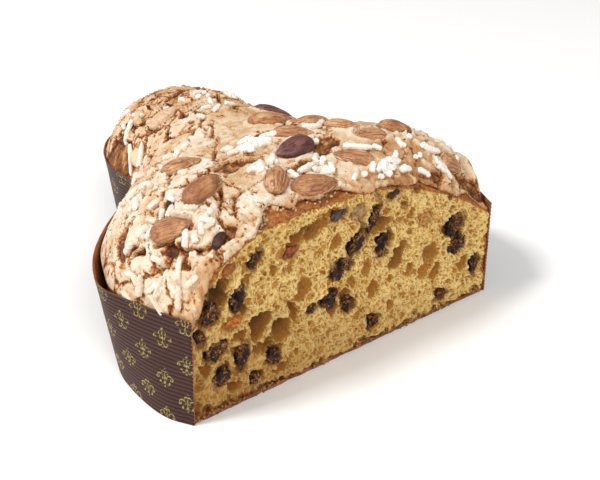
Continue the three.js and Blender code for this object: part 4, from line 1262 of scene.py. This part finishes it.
# Two raisins sit in the glaze itself, where it cracked: shrivelled, near black and a little shiny.
for number_of, (x, y, heading, length, stands) in enumerate(RAISINS, len(FRUIT) + 1):
    bpy.ops.object.select_all(action="DESELECT")
    bpy.ops.mesh.primitive_ico_sphere_add(subdivisions=5, radius=1)
    raisin = bpy.context.object
    raisin.name = f"glaze_raisin_{number_of:02d}"
    ball = np.array([corner.co for corner in raisin.data.vertices])
    shape = ball * [length / 2, ALMOND_WIDE * length / 2, ALMOND_THICK * length / 2]
    fold = np.abs(lumps(shape * [0.5, 1, 1], 1.5, seed=330 + number_of, octaves=2))
    shape += ball * (0.5 * (fold - 0.35))[:, None]
    here, axes = laid_on_top(x, y, heading)
    shape_to(raisin, here + axes[2] * (stands - 0.5) + shape @ axes)
    bpy.ops.object.shade_smooth()
    raisin.data.materials.append(bpy.data.materials["dark_raisin_skin"])
    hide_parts(f"fruit_{number_of:02d}")
    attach(raisin, "root")

# ---- loose crumbs ---------------------------------------------------------------------------
# Crumbs that the knife tore off: brown ones from the crust hang along the lower edge and at the
# sides, pale ones from the glaze lie on the ledge where it broke away.

ABOVE_TABLE = 0.05
CRUMB_SHAPE = bmesh.new()
bmesh.ops.create_icosphere(CRUMB_SHAPE, subdivisions=1, radius=1)
grit_points = np.array([corner.co for corner in CRUMB_SHAPE.verts])
grit_faces = [[corner.index for corner in face_of.verts] for face_of in CRUMB_SHAPE.faces]
CRUMB_SHAPE.free()


def strewn(name, spots, sizes, seed):
    """One mesh of torn crumbs, each an uneven grain turned its own way."""
    random = np.random.default_rng(seed)
    points, faces = [], []
    for spot, size in zip(spots, sizes):
        turn, _ = np.linalg.qr(random.standard_normal((3, 3)))
        grain = grit_points * random.uniform(
            0.6, 1.25, (len(grit_points), 1)
        ) * random.uniform(0.6, 1.2, 3)
        first = len(points) * len(grit_points)
        points.append(spot + size * grain @ turn)
        faces += [[first + corner for corner in each] for each in grit_faces]
    points = np.vstack(points)
    points[:, 1:] = np.maximum(points[:, 1:], [BEHIND_CUT, ABOVE_TABLE])
    crumbs = scattered(name, points, faces)
    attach(crumbs, "root")
    return crumbs


random = np.random.default_rng(43)
x = random.uniform(-91, 91, 1300)
x = x[
    lumps(np.column_stack([x, x * 0, x * 0]), 7, seed=46, octaves=2) > -0.35
    * random.uniform(0, 1, 1300)
]
low_edge = np.column_stack(
    [x, 0.5 + np.abs(random.normal(0, 0.5, len(x))), 0.7 + np.abs(random.normal(0, 1.4, len(x)))]
)
x = np.concatenate([random.uniform(-56, 0, 150), random.uniform(0, 88, 90)])
back_from = random.uniform(0, 1, len(x)) ** 0.5 * flaked_back(x)
ledge = np.column_stack([x, back_from + 0.3, crust_height(x, back_from) + 0.1])
broken = np.column_stack([surface_x.ravel(), crack_and_shade.ravel(), bare.ravel()])
along_cracks = np.flatnonzero(
    (broken[:, 1] > -0.9) & (broken[:, 1] < 0.5) & (broken[:, 2] < 0.5) & (from_rim.ravel() > 0.5)
)
along_cracks = random.choice(along_cracks, 2600, replace=False)
cracked = drawn_in(lifted).reshape(-1, 3)[along_cracks] + out.reshape(-1, 3)[along_cracks] * 0.1
grains_at = np.vstack([low_edge, ledge, cracked])
sizes = np.concatenate(
    [random.uniform(0.3, 1.05, len(low_edge)), random.uniform(0.2, 0.55, len(ledge) + len(cracked))]
)
toasted = strewn("crumbs_of_crust", grains_at, sizes, 44)
x = random.uniform(-58, -2, 26)
back_from = random.uniform(0.6, 1, 26) * flaked_back(x)
flakes = np.column_stack([x, back_from, crust_height(x, back_from) + 0.2])
pale = strewn("crumbs_of_glaze", flakes, random.uniform(0.5, 1.3, 26), 45)

# Torn crust: hard dark-baked grains. Torn glaze: dry sugary grains, paler than its skin.
for crumbs, name, dark_tone, light_tone in (
    (toasted, "torn_brown_crust", "#4f2712", "#b07a44"),
    (pale, "torn_meringue", "#c9a077", "#e6ccac"),
):
    grains = material_of(crumbs, name, 0.8)
    place = add(grains, "TexCoord", out="Object")
    mixed = add(grains, "TexNoise", place, 1 / (1.5 * MM), 3.0)
    colour = add(grains, "ValToRGB", mixed, stops=[(0.35, dark_tone), (0.65, light_tone)])
    bump = add(grains, "Bump", Height=mixed, Strength=0.4, Distance=0.3 * MM)
    dress(grains, colour, bump)

# ---- studio ---------------------------------------------------------------------------------

bpy.ops.mesh.primitive_plane_add(size=6)
floor = bpy.context.object
floor.name = "studio_floor"
material_of(floor, "matt_white_backdrop", 0.9, Base_Color=linear("#fbfaf8"))

camera = bpy.data.objects.new("camera", bpy.data.cameras.new("camera"))
camera.data.lens = 54
camera.data.sensor_width = 36
camera.location = (-0.2382, -0.2743 - CAKE_DEPTH / 2 * MM, 0.2727)
camera.rotation_euler = (np.radians(90 - 29.95), 0, np.radians(-36.66))
bpy.context.scene.collection.objects.link(camera)
bpy.context.scene.camera = camera

world = bpy.data.worlds.new("studio")
world.use_nodes = True
world.node_tree.nodes["Background"].inputs["Color"].default_value = (1, 1, 1, 1)
world.node_tree.nodes["Background"].inputs["Strength"].default_value = 0.4
bpy.context.scene.world = world
bpy.context.scene.view_settings.view_transform = "Standard"


def soft_light(name, place, aim, size, power, colour=(1, 1, 1)):
    """A square soft box, aimed at a point."""
    lamp = bpy.data.lights.new(name, "AREA")
    lamp.size = size
    lamp.energy = power
    lamp.color = colour
    light = bpy.data.objects.new(name, lamp)
    light.location = place
    light.rotation_euler = (Vector(aim) - Vector(place)).to_track_quat("-Z", "Y").to_euler()
    bpy.context.scene.collection.objects.link(light)


soft_light("key", (-1.7, 0.5, 2.5), (0, 0, 0.05), 0.6, 56)
soft_light("front", (-0.5, -2.3, 1.9), (0, 0, 0.05), 1.2, 42)
soft_light("back", (-1.6, 2.0, 0.9), (0, 0, 0.05), 1.0, 14)
